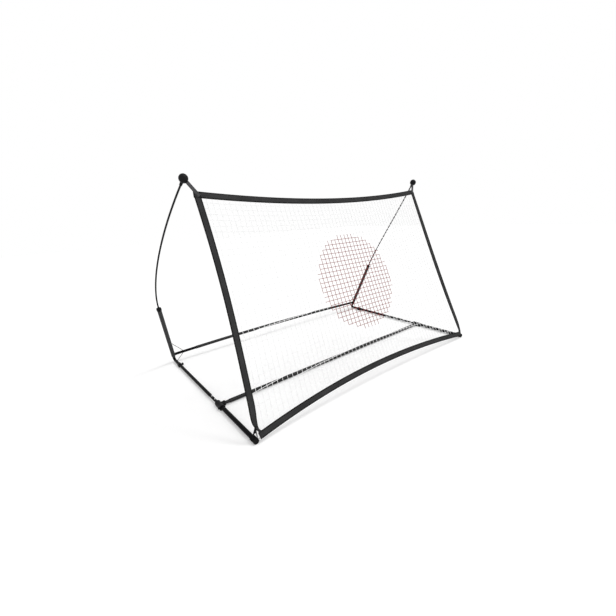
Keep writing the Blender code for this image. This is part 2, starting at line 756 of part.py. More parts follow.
def corner_brace(name, side):
    """Wire from the socket past the front of the rear stub to the side tube."""
    on_bar = rear_bar_point(side * (socket_point(1, REAR_BAR_HEIGHT).x - BRACE_BAR_REACH))
    past = UP * math.sin(BRACE_PASS_ANGLE) - BACK * math.cos(BRACE_PASS_ANGLE)
    middle = on_bar + past * (REAR_STUB_DIAMETER / 2 + BRACE_WIRE_DIAMETER / 2 + FIT_GAP)
    on_socket = socket_point(side, BRACE_SOCKET_HEIGHT)
    on_side = side_axis(side, BASE_DEPTH - BRACE_SIDE_REACH)
    start = clear_of(on_socket, socket_direction(side), SOCKET_DIAMETER / 2, middle)
    end = clear_of(on_side, tube_run(side), REAR_TUBE_DIAMETER / 2, middle)
    wire(f"corner_brace_{name}", [start, middle, end], BRACE_WIRE_DIAMETER, powder_coat())


# Poles

def pole_butt(name, side):
    """Lower section of the pole with its foot plug, standing on the elbow inside the socket."""
    direction = socket_direction(side)
    start = corner(side) + direction * (ELBOW_RISE + END_GAP)
    length = (pole_hinge(side) - start).length - POLE_JOINT_GAP / 2
    foot = SOCKET_DIAMETER / 2 - SOCKET_WALL - FIT_GAP
    radius = POLE_DIAMETER / 2
    profile = [(0, 0), (foot, 0), (foot, POLE_FOOT_LENGTH), (radius, POLE_FOOT_LENGTH), (radius, length),
               (0, length)]
    add_object(f"pole_butt_{name}", turned(profile, ROUND, closed=False), fibreglass(), start, direction)


def pole_path(side):
    out = socket_direction(side)
    lean = tip_direction(side)
    start = pole_hinge(side) + out * (POLE_JOINT_GAP / 2)
    end = pole_tip(side) - lean * BALL_NECK_REACH
    steps = 20
    points = bezier(start, start + out * POLE_START_PULL, end - lean * POLE_END_PULL, end, steps)
    points.append(pole_tip(side) + lean * (BALL_BORE_DEPTH - FIT_GAP))
    return points


def pole(name, side):
    wire(f"pole_{name}", pole_path(side), POLE_DIAMETER, fibreglass(), 4, pole_hinge(side))


def pole_ball(name, side):
    """Ball cap with a neck, bored for the pole's tip."""
    radius = BALL_DIAMETER / 2
    neck = BALL_NECK_DIAMETER / 2
    bore = POLE_DIAMETER / 2 + FIT_GAP
    meet = math.asin(neck / radius)
    steps = 11
    profile = []
    for i in range(steps + 1):
        angle = (math.pi - meet) * i / steps
        profile.append((radius * math.sin(angle), radius * math.cos(angle)))
    profile[0] = (0, radius)
    profile += [(neck, -BALL_NECK_REACH), (bore, -BALL_NECK_REACH), (bore, BALL_BORE_DEPTH),
                (0, BALL_BORE_DEPTH)]
    ball = add_object(f"pole_ball_{name}", turned(profile, closed=False), moulded_plastic(), pole_tip(side),
                      tip_direction(side))
    frame = top_strap_frame(side)
    size = (TOP_STRAP_WIDTH + 2 * FIT_GAP, TOP_STRAP_THICKNESS + 2 * FIT_GAP)
    slot = flat_strap(frame, TOP_STRAP_SLOT_START, BALL_DIAMETER, size)
    combine(ball, [guide(f"ball_slot_{name}", slot)], "DIFFERENCE")


# Net: every point is named by s, -1 to 1 from left to right, and t, 0 to 1 from bottom to top.
# The border's centre lines run along s = -1, s = 1, t = 0 and t = 1.

def net_bottom_half():
    return BASE_WIDTH / 2 - NET_BOTTOM_INSET


def net_top_corner(side):
    return pole_tip(side) + Vector((-side * NET_TOP_INSET, -NET_TOP_FORWARD, -NET_TOP_DROP))


def net_slope():
    """Direction up the net, and its length between the border's centre lines."""
    top = net_top_corner(1)
    run = Vector((0, top.y - NET_BOTTOM_DISTANCE, top.z - NET_BOTTOM_HEIGHT))
    return run.normalized(), run.length


def net_normal():
    up, _ = net_slope()
    return Vector((1, 0, 0)).cross(up)


def net_half_width(t):
    straight = net_bottom_half() + (net_top_corner(1).x - net_bottom_half()) * t
    return straight - NET_SIDE_BOW * 4 * t * (1 - t)


def net_stretch(s):
    """Length up the net between the bowed bottom and top edges."""
    return net_slope()[1] - (1 - s * s) * (NET_BOTTOM_RISE + NET_TOP_SAG)


def net_point(s, t):
    up, length = net_slope()
    height = (1 - s * s) * NET_BOTTOM_RISE + t * net_stretch(s)
    base = Vector((0, NET_BOTTOM_DISTANCE, NET_BOTTOM_HEIGHT))
    return base + Vector((s * net_half_width(t), 0, 0)) + up * height


def sheet(name, rows, thickness, finish, gaps=None):
    """Flat solid from rows of points; gaps(i, j) says which squares stay open."""
    bm = bmesh.new()
    grid = [[bm.verts.new(point) for point in row] for row in rows]
    for i in range(len(grid) - 1):
        for j in range(len(grid[0]) - 1):
            if gaps is None or not gaps(i, j):
                bm.faces.new((grid[i][j], grid[i][j + 1], grid[i + 1][j + 1], grid[i + 1][j]))
    loose = [vert for vert in bm.verts if not vert.link_faces]
    bmesh.ops.delete(bm, geom=loose, context="VERTS")
    obj = add_object(name, bm, finish)
    solid = obj.modifiers.new("thickness", "SOLIDIFY")
    solid.thickness = thickness
    solid.offset = 0
    return obj


def border_end(end):
    """Top or bottom border: its bowed centre line runs past both corners by half a width."""
    t = 1 if end == "top" else 0
    steps = 28
    reach = 1 + BORDER_WIDTH / 2 / net_half_width(t)
    rows = []
    for edge in (-1, 1):
        row = []
        for i in range(steps + 1):
            s = reach * (2 * i / steps - 1)
            row.append(net_point(s, t + edge * BORDER_WIDTH / 2 / net_stretch(s)))
        rows.append(row)
    sheet(f"border_{end}", rows, BORDER_THICKNESS, border_webbing())


def border_side(name, side):
    """Side border, between the top and bottom ones."""
    steps = 12
    rows = []
    for edge in (-1, 1):
        row = []
        for i in range(steps + 1):
            level = i / steps
            s = side * (1 + edge * BORDER_WIDTH / 2 / net_half_width(level))
            inset = (BORDER_WIDTH / 2 + END_GAP) / net_stretch(s)
            row.append(net_point(s, inset + (1 - 2 * inset) * level))
        rows.append(row)
    sheet(f"border_{name}", rows, BORDER_THICKNESS, border_webbing())


def strand_lines(gaps):
    """Both edges of every strand across one direction, as (place from 0 to 1, side of the strand)."""
    return [(i / gaps, edge) for i in range(gaps + 1) for edge in (-1, 1)]


def net_rows():
    half_strand = STRAND_WIDTH / 2
    rows = []
    for up, up_edge in strand_lines(NET_GAPS_UP):
        row = []
        for across, across_edge in strand_lines(NET_GAPS_ACROSS):
            width = net_half_width(up)
            inner = 1 - (BORDER_WIDTH / 2 + END_GAP + half_strand) / width
            s = (2 * across - 1) * inner + across_edge * half_strand / width
            stretch = net_stretch(s)
            inset = (BORDER_WIDTH / 2 + END_GAP + half_strand) / stretch
            row.append(net_point(s, inset + (1 - 2 * inset) * up + up_edge * half_strand / stretch))
        rows.append(row)
    return rows


def mesh_gap(i, j):
    """Between two strands both ways."""
    return i % 2 == 1 and j % 2 == 1


def target_cutter(name, radius):
    depth = BORDER_WIDTH
    start = net_point(0, 0.5) - net_normal() * (depth / 2)
    return guide(name, cylinder(radius, depth, 2 * ROUND), start, net_normal())


def net_field():
    field = sheet("net_field", net_rows(), STRAND_THICKNESS, white_net(), mesh_gap)
    combine(field, [target_cutter("target_opening", TARGET_RADIUS + FIT_GAP)], "DIFFERENCE")


def net_target():
    target = sheet("net_target", net_rows(), STRAND_THICKNESS, red_net(), mesh_gap)
    combine(target, [target_cutter("target_outline", TARGET_RADIUS)], "INTERSECT")


def strap_outline(big, small, distance, steps):
    """Points of a belt round a big circle at the origin and a small one at (distance, 0)."""
    spread = math.acos((big - small) / distance)
    points = []
    for i in range(steps + 1):
        angle = spread + (math.tau - 2 * spread) * i / steps
        points.append((big * math.cos(angle), big * math.sin(angle)))
    nose = steps // 2
    for i in range(nose + 1):
        angle = -spread + 2 * spread * i / nose
        points.append((distance + small * math.cos(angle), small * math.sin(angle)))
    return points


def bottom_strap(name, side):
    """Closed webbing loop round the end cap's groove, drawn up to a turn at the net's corner."""
    axis = tube_run(side)
    centre = side_axis(side, 0) + axis * (CAP_GROOVE_START + CAP_GROOVE_LENGTH / 2)
    rise = UP * BOTTOM_STRAP_RISE + inward(side) * BOTTOM_STRAP_INSET
    rise -= axis * rise.dot(axis)
    along = rise.normalized()
    across = axis.cross(along)
    seat = CAP_GROOVE_DIAMETER / 2 + FIT_GAP
    steps = 12
    bm = bmesh.new()
    loops = []
    for grow in (0, BOTTOM_STRAP_THICKNESS):
        outline = strap_outline(seat + grow, BOTTOM_STRAP_NOSE + grow, rise.length, steps)
        for level in (-BOTTOM_STRAP_WIDTH / 2, BOTTOM_STRAP_WIDTH / 2):
            loops.append([bm.verts.new(centre + along * x + across * y + axis * level) for x, y in outline])
    inner_low, inner_high, outer_low, outer_high = loops
    for first, second in ((inner_low, inner_high), (outer_low, outer_high), (inner_low, outer_low),
                          (inner_high, outer_high)):
        join_rings(bm, first, second)
    add_object(f"bottom_strap_{name}", bm, strap_webbing())


def top_strap_frame(side):
    """Where the top strap's axis passes the ball, its run down the net, its width and its thickness."""
    up, _ = net_slope()
    normal = net_normal()
    to_corner = net_top_corner(side) - pole_tip(side)
    run = (to_corner - normal * to_corner.dot(normal)).normalized()
    across = run.cross(normal) * side
    lift = (BORDER_THICKNESS + TOP_STRAP_THICKNESS) / 2 + FIT_GAP
    centre = pole_tip(side) + normal * (to_corner.dot(normal) + lift) + across * TOP_STRAP_SHIFT
    return centre, run, across, normal


def flat_strap(frame, start, end, size):
    """Bmesh of a straight strip between two distances along the frame's run; size is across and through."""
    centre, run, across, normal = frame
    bm = bmesh.new()
    ends = []
    for distance in (start, end):
        middle = centre + run * distance
        ends.append([bm.verts.new(middle + across * (x * size[0] / 2) + normal * (y * size[1] / 2))
                     for x, y in ((-1, -1), (1, -1), (1, 1), (-1, 1))])
    join_rings(bm, *ends)
    bm.faces.new(ends[0])
    bm.faces.new(ends[1])
    return bm


def top_strap(name, side):
    """Doubled webbing from the ball's slot down over the front of the border's corner."""
    frame = top_strap_frame(side)
    reach = (net_top_corner(side) - pole_tip(side)).dot(frame[1])
    size = (TOP_STRAP_WIDTH, TOP_STRAP_THICKNESS)
    strip = flat_strap(frame, TOP_STRAP_SLOT_START + FIT_GAP, reach + TOP_STRAP_OVERLAP, size)
    add_object(f"top_strap_{name}", strip, strap_webbing())


def centre_on_footprint():
    """Hangs the model on an empty that brings the middle of its footprint to the origin."""
    bpy.context.view_layer.update()
    depsgraph = bpy.context.evaluated_depsgraph_get()
    low = Vector((math.inf,) * 3)
    high = Vector((-math.inf,) * 3)
    for obj in bpy.data.objects:
        if obj.hide_render:
            continue
        shown = obj.evaluated_get(depsgraph)
        mesh = shown.to_mesh()
        for vert in mesh.vertices:
            place = shown.matrix_world @ vert.co
            low = Vector(map(min, low, place))
            high = Vector(map(max, high, place))
        shown.to_mesh_clear()
    footprint = bpy.data.objects.new("footprint", None)
    footprint.location = (-(low.x + high.x) / 2, -(low.y + high.y) / 2, 0)
    bpy.context.collection.objects.link(footprint)
    for obj in bpy.data.objects:
        if obj is not footprint:
            obj.parent = footprint


def build_side(name, side):
    front_side_tube(name, side)
    front_end_cap(name, side)
    tee(name, side)
    tee_screw(name, side)
    neck_bush(name, side)
    neck_tube(name, side)
    for number in (1, 2):
        snap_button(name, side, number)
        clip_arm(name, side, number)
    button_clip(name, side)
    rear_side_tube(name, side)
    elbow(name, side)
    lock_collar(name, side)
    lock_screw(name, side)
    pole_socket(name, side)
    socket_collar(name, side)
    socket_bush(name, side)
    rear_bar_stub(name, side)
    corner_brace(name, side)
    pole_butt(name, side)
    pole(name, side)
    pole_ball(name, side)
    border_side(name, side)
    top_strap(name, side)
    bottom_strap(name, side)


def main():
    clear_scene()
    for name, side in SIDES:
        build_side(name, side)
    crossbar()
    rear_bar()
    for end in ("top", "bottom"):
        border_end(end)
    net_field()
    net_target()
    centre_on_footprint()


main()
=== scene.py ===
"""Dresses a ball rebounder: stretched netting, webbing, bowed poles, steel tubes and moulded fittings."""
import json
import math
import random

import bpy
import numpy as np
from mathutils import Matrix, Vector


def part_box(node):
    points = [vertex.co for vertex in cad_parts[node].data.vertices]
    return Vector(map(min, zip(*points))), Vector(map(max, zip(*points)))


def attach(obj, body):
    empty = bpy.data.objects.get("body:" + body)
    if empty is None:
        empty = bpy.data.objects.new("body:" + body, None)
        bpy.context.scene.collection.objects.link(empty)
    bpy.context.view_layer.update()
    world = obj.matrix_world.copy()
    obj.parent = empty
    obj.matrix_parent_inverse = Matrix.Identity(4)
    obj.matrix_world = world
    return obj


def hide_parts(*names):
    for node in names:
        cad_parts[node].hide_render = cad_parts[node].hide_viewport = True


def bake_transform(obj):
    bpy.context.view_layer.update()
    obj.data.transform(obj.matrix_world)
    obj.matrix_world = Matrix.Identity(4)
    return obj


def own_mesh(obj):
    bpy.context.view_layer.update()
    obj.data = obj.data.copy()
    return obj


bl_info = {
    "name": "Ball rebounder",
    "version": (1, 0, 0),
    "blender": (4, 5, 0),
    "location": "View3D > Sidebar > Rebounder",
    "description": "Models and finishes a free-standing ball rebounder on its floor frame",
    "category": "Object",
}

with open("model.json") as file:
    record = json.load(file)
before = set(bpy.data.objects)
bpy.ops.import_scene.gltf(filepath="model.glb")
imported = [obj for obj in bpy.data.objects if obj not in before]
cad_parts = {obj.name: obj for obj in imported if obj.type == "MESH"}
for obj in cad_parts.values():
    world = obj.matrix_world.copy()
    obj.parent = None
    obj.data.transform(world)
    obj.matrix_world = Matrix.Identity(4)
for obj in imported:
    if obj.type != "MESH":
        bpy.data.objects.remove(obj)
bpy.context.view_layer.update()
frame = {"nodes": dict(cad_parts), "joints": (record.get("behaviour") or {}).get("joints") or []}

SIDES = {"left": -1, "right": 1}
RIGHT = Vector((1, 0, 0))
BACK = Vector((0, 1, 0))
UP = Vector((0, 0, 1))

# Fineness of round shapes
ROUND = 48
ROUND_SMALL = 24
POLE_SIDES = 20
WIRE_SIDES = 12
STRAND_SIDES = 6
STITCH_SIDES = 5
SHARP_ANGLE = math.radians(38)
WELD = 0.00001
END_TOLERANCE = 0.0006          # how far the corners of one end ring may lie apart along the axis

# Clearances, as in the solids
FIT_GAP = 0.0003
END_GAP = 0.0005
EDGE = 0.0004                   # chamfer on cut ends and moulded edges

# Floor and lamps; a lamp shines from the side of its place
FLOOR_SIZE = 24.0
FLOOR_GLOW = 0.27               # added to the lit floor for the camera, so that it comes out white
FLOOR_PATCHES = (0.7, 0.7, 0.7)
FLOOR_PATCHINESS = 0.02
KEY_PLACE = (1.6, -1.8, 3.0)
FILL_PLACE = (-1.2, -3.0, 0.8)
GLINT_PLACE = (1.5, -0.6, 2.5)
GLINT_WIDTH = math.radians(12)

# Floor frame
CROSSBAR_PLUG_DIAMETER = 0.016
CROSSBAR_PLUG_LENGTH = 0.034
CROSSBAR_SHOULDER = 3           # its length, in steps between the two radii
REAR_BAR_WALL = 0.0012
ELBOW_RADIUS = 0.011
BRACE_RADIUS = 0.0015
BRACE_END = 0.003               # height in which the corners of a wire's end lie
BRACE_BEND_CORNERS = 6          # how many of a wire's corners mark its bend
BRACE_BEND_SHIFT = 0.0006
BRACE_BEND_SHARE = 0.16         # of each leg
BRACE_BEAD_RADIUS = 0.0026      # weld at each end of a brace
BRACE_BEAD_HEIGHT = 0.8         # as a share of its width
CAP_FACE_THICKNESS = 0.003
CAP_FACE = ((0.0015, 0.0004), (0.0060, 0.0002))     # radius and depth of its slight hollow
CAP_ROUND = 0.0020
CAP_BEVEL = 0.0006
CAP_GROOVE = (0.006, 0.0195)    # from and to, behind the face
CAP_GROOVE_DIAMETER = 0.0206
CAP_GROOVE_EDGE = (0.0005, 0.0003)
CAP_RIBS = 3
CAP_RIB_INSET = 0.0015          # of the ribs from the groove and from the mouth
CAP_RIB_HOLLOW = ((0, 0.45), (1, 0.55), (1, 0.80), (0, 0.92))   # depth in bevels, place as share of a pitch
MOULD_EDGE = 0.0006
TEE_BRANCH_DIAMETER = 0.0245
TEE_SOLE_WIDTH = 0.022
TEE_LIP = 0.005                 # length of the raised lip at each mouth
TEE_WAIST = 0.0009              # how much slimmer the body is between its lips
LOCK_SOLE_WIDTH = 0.018
LOCK_LIP = 0.004
LOCK_WAIST = 0.0007
BUSH_FLANGE = 0.003
BOSS_DIAMETER = 0.010
BOSS_HEIGHT = 0.0015
SHANK_DIAMETER = 0.005
KNOB_LOBES = 6
KNOB_LOBE_POINTS = 8
KNOB_LOBE_DEPTH = 0.16
KNOB_EDGE = 5                   # its length in chamfers
KNOB_DISH = (0.55, 0.45)        # radii of the hollow in its face, as shares of its own
KNOB_EASE = 0.00025
BUTTON_DIAMETER = 0.006
BUTTON_DOME = 0.0015
BUTTON_PLATE_WIDTH = 0.0046
BUTTON_PLATE_THICKNESS = 0.0008
BUTTON_PLATE_EASE = 0.0001
SPRING_WIDTH = 0.0038
SPRING_THICKNESS = 0.0005
SPRING_RISE = (0.1475, 0.705)   # shares of the arm between which it rises

# Uprights
COLLAR_GROOVES = (0.30, 0.55)   # where they start, as shares of the collar's height
COLLAR_GROOVE = (0.0006, 0.0016, 0.0004)            # depth, width and slope
COLLAR_RIM = ((0, 0.0020), (0.0006, 0.0007), (0.0020, 0))   # inwards and down from its outer edge
BUTT_GAP = 0.0006               # between the pole and the collar's mouth
POLE_DIAMETER = 0.008
POLE_START_PULL = 0.150
POLE_END_PULL = 0.292
POLE_LEAN_FORWARD = math.radians(42.0)
POLE_LEAN_IN = math.radians(19.2)
POLE_PAST_CENTRE = 0.0042       # how far the pole's end lies past the middle of the ball
BALL_DIAMETER = 0.037
BALL_CROWN = 0.0008             # radius of the flat on its top
BALL_NECK_DIAMETER = 0.0130
BALL_NECK_TIP_DIAMETER = 0.0106
BALL_NECK_REACH = 0.033
BALL_FILLET = 0.0022
BALL_PARTING_DEPTH = 0.00025

# Netting, between the centre lines of its borders
NET_BOTTOM_HALF = 0.742
NET_BOTTOM = Vector((0, -0.493788, 0.030))
NET_TOP_HALF = 0.704
NET_TOP = Vector((0, -0.116788, 0.913))
NET_REACH = NET_TOP - NET_BOTTOM
NET_UP = NET_REACH.normalized()
NET_OUT = RIGHT.cross(NET_UP)   # towards the player
NET_SIDE_BOW = {"left": (0.0142, 0.33), "right": (0.0172, -0.30)}   # depth, and how much fuller above
NET_TOP_SAG = 0.0425
NET_BOTTOM_RISE = 0.0565
NET_BOTTOM_LEAN = 0.007         # how much more the bottom edge rises on the left
NET_TUCK = 0.006                # the netting's edge inside the border, from its centre line
TUCKED_SIZE = 0.7               # of a strand there
KNOT_REACH = 0.0022             # half length of the thickening where two strands cross
UNEVENNESS = 0.0005             # how far a knot may lie off its place
EDGE_KNOT_LIFT = 0.4            # share of the turned border's own lift at the strands' ends

# Webbing
BORDER_THICKNESS = 0.003
BORDER_STEPS = 64
SEAM_INSET = 0.0028             # stitching from the border's edge
SEAM_DIP = 0.00035
SEAM_SPREAD = 0.0011            # how wide the dip is
PLY_GROOVE = 0.0004             # in the edge of doubled webbing
STITCH_PITCH = 0.0055
STITCH_LENGTH = 0.0040
STITCH_RADIUS = 0.00042
STITCH_SUNK = 0.0001
SIDE_OVERLAP = 0.006            # of a side border under the top one
SIDE_BORDER_THICKNESS = 0.0026
SIDE_TWIST = {"left": math.radians(2), "right": math.radians(10)}
CORNER_TURN = {                 # a side border round the bottom corner: inwards, up, share of its width
    "left": ((0.0260, 0.0015, 0.58), (0.0170, 0.0090, 0.44), (0.0105, 0.0180, 0.36), (0.0065, 0.0270, 0.40),
             (0.0036, 0.0370, 0.55), (0.0022, 0.0490, 0.74), (0.0023, 0.0640, 0.86), (0.0048, 0.0850, 0.96),
             (0.0085, 0.1150, 1.00)),
    "right": ((0.0260, 0.0015, 0.58), (0.0175, 0.0090, 0.50), (0.0125, 0.0180, 0.50), (0.0098, 0.0270, 0.58),
              (0.0085, 0.0370, 0.72), (0.0080, 0.0490, 0.86), (0.0085, 0.0640, 0.95), (0.0100, 0.0850, 1.00),
              (0.0123, 0.1150, 1.00)),
}
BOTTOM_END_INSET = 0.006        # from the net's corner to the bottom border's end
PATCH_SIZE = 0.025
PATCH_THICKNESS = 0.0012
PATCH_SUNK = 0.0004             # into the border
PATCH_INSET = 0.0005            # its middle from the corner of the net
TOP_STRAP_WIDTH = 0.016
TOP_STRAP_THICKNESS = 0.003
TOP_STRAP_SHIFT = 0.0020
TOP_STRAP_START = 0.009
TOP_STRAP_OVERLAP = 0.010
TOP_STRAP_SEAM_INSET = 0.0022
BOTTOM_STRAP_WIDTH = 0.007
BOTTOM_STRAP_THICKNESS = 0.0012
BOTTOM_STRAP_NOSE = 0.0045
BOTTOM_STRAP_RISE = 0.032
BOTTOM_STRAP_INSET = 0.004
TAB_WIDTH = 0.0080
TAB_THICKNESS = 0.0012
TAB_SEWN = 0.040                # how high up the border it is sewn
TAB_INSET = 0.003               # from the net's side there
TAB_BEND = 0.35                 # share of its way to the loop where it leaves the border
TAB_NOSE = 0.0035               # how far it bulges under the loop's turn
TAIL_WIDTH = 0.0035             # end of webbing from the net's corner down to the cap's groove
TAIL_TOP = (0.011, 0.0095)      # inwards and down from the corner of the net
TAIL_HEM = 0.004
TAIL_FOOT = (0.0118, 0.0052, 0.004)     # inwards, forwards and up from the side tube's axis

# Camera
CAMERA_PLACE = Vector((-1.192, -1.436788, 0.821))
CAMERA_AZIMUTH = math.radians(-37.218)
CAMERA_ELEVATION = math.radians(16.385)
CAMERA_ROLL = math.radians(-3.203)
CAMERA_LENS = 18.871            # millimetres
CAMERA_SENSOR = 36.0


# Reading the frame

def solid_points(node):
    """A solid's corners, each once."""
    places = np.array([vert.co for vert in frame["nodes"][node].data.vertices], float)
    return np.unique(np.round(places, 6), axis=0)


def axis_ends(node, hint):
    """Both ends of a long round solid's axis; the second lies further along hint."""
    points = solid_points(node)
    middle = points.mean(axis=0)
    direction = np.linalg.svd(points - middle, full_matrices=False)[2][0]
    if direction @ np.array(hint) < 0:
        direction = -direction
    reach = (points - middle) @ direction
    ends = []
    for limit in (reach.min(), reach.max()):
        ends.append(Vector(points[abs(reach - limit) < END_TOLERANCE].mean(axis=0)))
    return ends


def reach_along(node, origin, direction):
    """How far a solid reaches from a point along a direction, least and most."""
    distances = (solid_points(node) - np.array(origin)) @ np.array(direction)
    return float(distances.min()), float(distances.max())


def wall_radii(node, start, end):
    """Bore and outer radius of a tube round the axis from start to end."""
    run = np.array((end - start).normalized())
    offsets = solid_points(node) - np.array(start)
    radii = np.linalg.norm(offsets - np.outer(offsets @ run, run), axis=1)
    return float(radii.min()), float(radii.max())


def tube_radii(node, hint):
    return wall_radii(node, *axis_ends(node, hint))


def joint_axis(name):
    """Place and direction of a joint."""
    found = [joint for joint in frame["joints"] if joint["name"] == name][0]
    return Vector(found["pos_m"]), Vector(found["axis"])


def side_run(name):
    """Axis of a side of the floor frame: a point on it and its direction towards the back."""
    start, end = axis_ends(f"front_side_tube_{name}", BACK)
    return start, (end - start).normalized()


def socket_run(name):
    """Axis of a pole socket: its lower end and its direction up."""
    start, end = axis_ends(f"pole_socket_{name}", UP)
    return start, (end - start).normalized()


def corner_place(name):
    """Where the axes of side tube and socket meet."""
    place, run = side_run(name)
    foot, rise = socket_run(name)
    return foot - rise * ((foot - place).cross(run).length / rise.cross(run).length)


# Modelling tools

def shares(steps):
    """Evenly spaced numbers from 0 to 1."""
    return [i / steps for i in range(steps + 1)]


def pick(obj):
    bpy.ops.object.select_all(action="DESELECT")
    obj.select_set(True)
    bpy.context.view_layer.objects.active = obj


def apply_place(obj):
    pick(obj)
    bpy.ops.object.transform_apply(location=True, rotation=True, scale=True)


def apply_modifier(piece, kind, **settings):
    """Changes a piece by a modifier and makes the change part of its mesh."""
    modifier = piece.modifiers.new(kind, kind)
    for name, value in settings.items():
        setattr(modifier, name, value)
    pick(piece)
    bpy.ops.object.modifier_apply(modifier=modifier.name)


def face_outwards(piece, weld=False):
    """Turns all faces outwards, after welding corners that meet if asked to."""
    pick(piece)
    bpy.ops.object.mode_set(mode="EDIT")
    bpy.ops.mesh.select_all(action="SELECT")
    if weld:
        bpy.ops.mesh.remove_doubles(threshold=WELD)
    bpy.ops.mesh.normals_make_consistent(inside=False)
    bpy.ops.object.mode_set(mode="OBJECT")
    return piece


def lay_on(obj, start, axis):
    """Turns a piece made round Z onto another axis, with its place in its mesh."""
    obj.rotation_mode = "QUATERNION"
    obj.rotation_quaternion = UP.rotation_difference(Vector(axis))
    obj.location = start
    apply_place(obj)
    return obj


def turned(profile, start, axis, sides=ROUND, closed=False):
    """Round piece: a ring extruded and scaled along its profile of (radius, height), then laid on its axis.

    A closed profile comes back to its first ring, as a tube's does; the ends of an open one are filled.
    """
    radius, height = profile[0]
    fill = "NOTHING" if closed else "NGON"
    bpy.ops.mesh.primitive_circle_add(vertices=sides, radius=radius, fill_type=fill, location=(0, 0, height))
    piece = bpy.context.object
    apply_place(piece)
    bpy.ops.object.mode_set(mode="EDIT")
    bpy.ops.mesh.select_all(action="SELECT")
    following = profile[1:] + profile[:1] if closed else profile[1:]
    for next_radius, next_height in following:
        lift = {"value": (0, 0, next_height - height)}
        bpy.ops.mesh.extrude_region_move(TRANSFORM_OT_translate=lift)
        grow = next_radius / radius
        bpy.ops.transform.resize(value=(grow, grow, 1), center_override=(0, 0, next_height))
        radius, height = next_radius, next_height
    bpy.ops.object.mode_set(mode="OBJECT")
    return lay_on(face_outwards(piece, weld=True), start, axis)


def mirrored(half, length):
    """Profile that is the same from both ends, from its first half."""
    return half + [(radius, length - height) for radius, height in reversed(half)]


def bar(radius, length, start, axis, sides=ROUND):
    """Plain round bar, mostly a tool for a hole."""
    return turned([(radius, 0), (radius, length)], start, axis, sides)


def block(size, middle, across=RIGHT, along=BACK):
    """Box with its sides along three directions at right angles: across, along and out of both."""
    bpy.ops.mesh.primitive_cube_add(size=1)
    box = bpy.context.object
    box.scale = size
    apply_place(box)
    axes = Matrix((across, along, across.cross(along))).transposed()
    box.matrix_world = Matrix.Translation(middle) @ axes.to_4x4()
    apply_place(box)
    return box


def combine(piece, tool, operation):
    """Joins a tool to a piece, or cuts it out; the tool is used up."""
    apply_modifier(piece, "BOOLEAN", operation=operation, object=tool, solver="EXACT")
    bpy.data.objects.remove(tool, do_unlink=True)


def ease_edges(piece, width, segments=2):
    """Rounds a piece's sharp edges."""
    apply_modifier(piece, "BEVEL", width=width, segments=segments, limit_method="ANGLE",
                   angle_limit=SHARP_ANGLE, miter_outer="MITER_ARC")


def join(pieces):
    """Makes one object of several, which stay separate bodies in it."""
    pick(pieces[0])
    for other in pieces[1:]:
        other.select_set(True)
    bpy.ops.object.join()
    return bpy.context.object


def bent_rod(path, radius, sides, wall=0.0):
    """Rod along points, or a tube if it has a wall: a curve with a bevel, made a mesh."""
    bpy.ops.curve.primitive_nurbs_path_add()
    rod = bpy.context.object
    curve = rod.data
    curve.splines.clear()
    spline = curve.splines.new("POLY")
    spline.points.add(len(path) - 1)
    for point, place in zip(spline.points, path):
        point.co = (*place, 1)
    curve.bevel_depth = radius
    curve.bevel_resolution = sides // 2 - 2
    curve.use_fill_caps = wall == 0
    pick(rod)
    bpy.ops.object.convert(target="MESH")
    rod = face_outwards(bpy.context.object, weld=True)
    if wall:
        apply_modifier(rod, "SOLIDIFY", thickness=wall, offset=-1)
    return rod


def hand_over(piece, name, finish, slot, body, *nodes):
    """Names a finished piece, shades it, and gives it its material and the body it rides on; slot is not
    used.
    """
    pick(piece)
    bpy.ops.object.shade_smooth_by_angle(angle=SHARP_ANGLE)
    piece.name = name
    piece.data.name = name
    piece.data.materials.clear()
    piece.data.materials.append(finish)
    if body:
        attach(piece, body)
    if nodes:
        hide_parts(*nodes)
    return piece


def coated(piece, name, node, finish=None):
    """Hands over a steel piece of the floor frame."""
    return hand_over(piece, name, finish or powder_coat(), "powder_coat", "frame", node)


def moulded(piece, name, node, body="frame"):
    return hand_over(piece, name, moulded_plastic(), "moulded_plastic", body, node)


def refinish(node, finish):
    """Gives a solid that keeps its own shape its finish."""
    for place in frame["nodes"][node].material_slots:
        place.material = finish


# Cords, strips and stitches

class Sweeps:
    """Cords and strips swept along lines, in one mesh with a UV map in metres, across and then along."""

    def __init__(self):
        self.points = []
        self.faces = []
        self.corners = []

    def add(self, stations, outline):
        """Adds one cord or strip.

        stations hold (place, run, out, (wide, deep), distance), where wide and deep scale the outline;
        outline holds (across, out, u), its first point last too.
        """
        first = len(self.points)
        count = len(outline) - 1
        for place, run, out, (wide, deep), _ in stations:
            across = out.cross(run)
            for x, y, _ in outline[:count]:
                self.points.append(place + across * (x * wide) + out * (y * deep))
        us = [u for _, _, u in outline]
        for i in range(len(stations) - 1):
            low = stations[i][4]
            high = stations[i + 1][4]
            ring = first + i * count
            for j in range(count):
                k = (j + 1) % count
                self.faces.append((ring + j, ring + k, ring + count + k, ring + count + j))
                self.corners += [(us[j], low), (us[j + 1], low), (us[j + 1], high), (us[j], high)]
        last = first + (len(stations) - 1) * count
        self.faces.append(tuple(range(first + count - 1, first - 1, -1)))
        self.corners += [(u, stations[0][4]) for u in reversed(us[:count])]
        self.faces.append(tuple(range(last, last + count)))
        self.corners += [(u, stations[-1][4]) for u in us[:count]]

    def build(self):
        mesh = bpy.data.meshes.new("sweep")
        mesh.from_pydata(self.points, [], self.faces)
        layer = mesh.uv_layers.new(name="UVMap")
        layer.uv.foreach_set("vector", np.array(self.corners, np.float32).ravel())
        piece = bpy.data.objects.new("sweep", mesh)
        bpy.context.collection.objects.link(piece)
        return piece


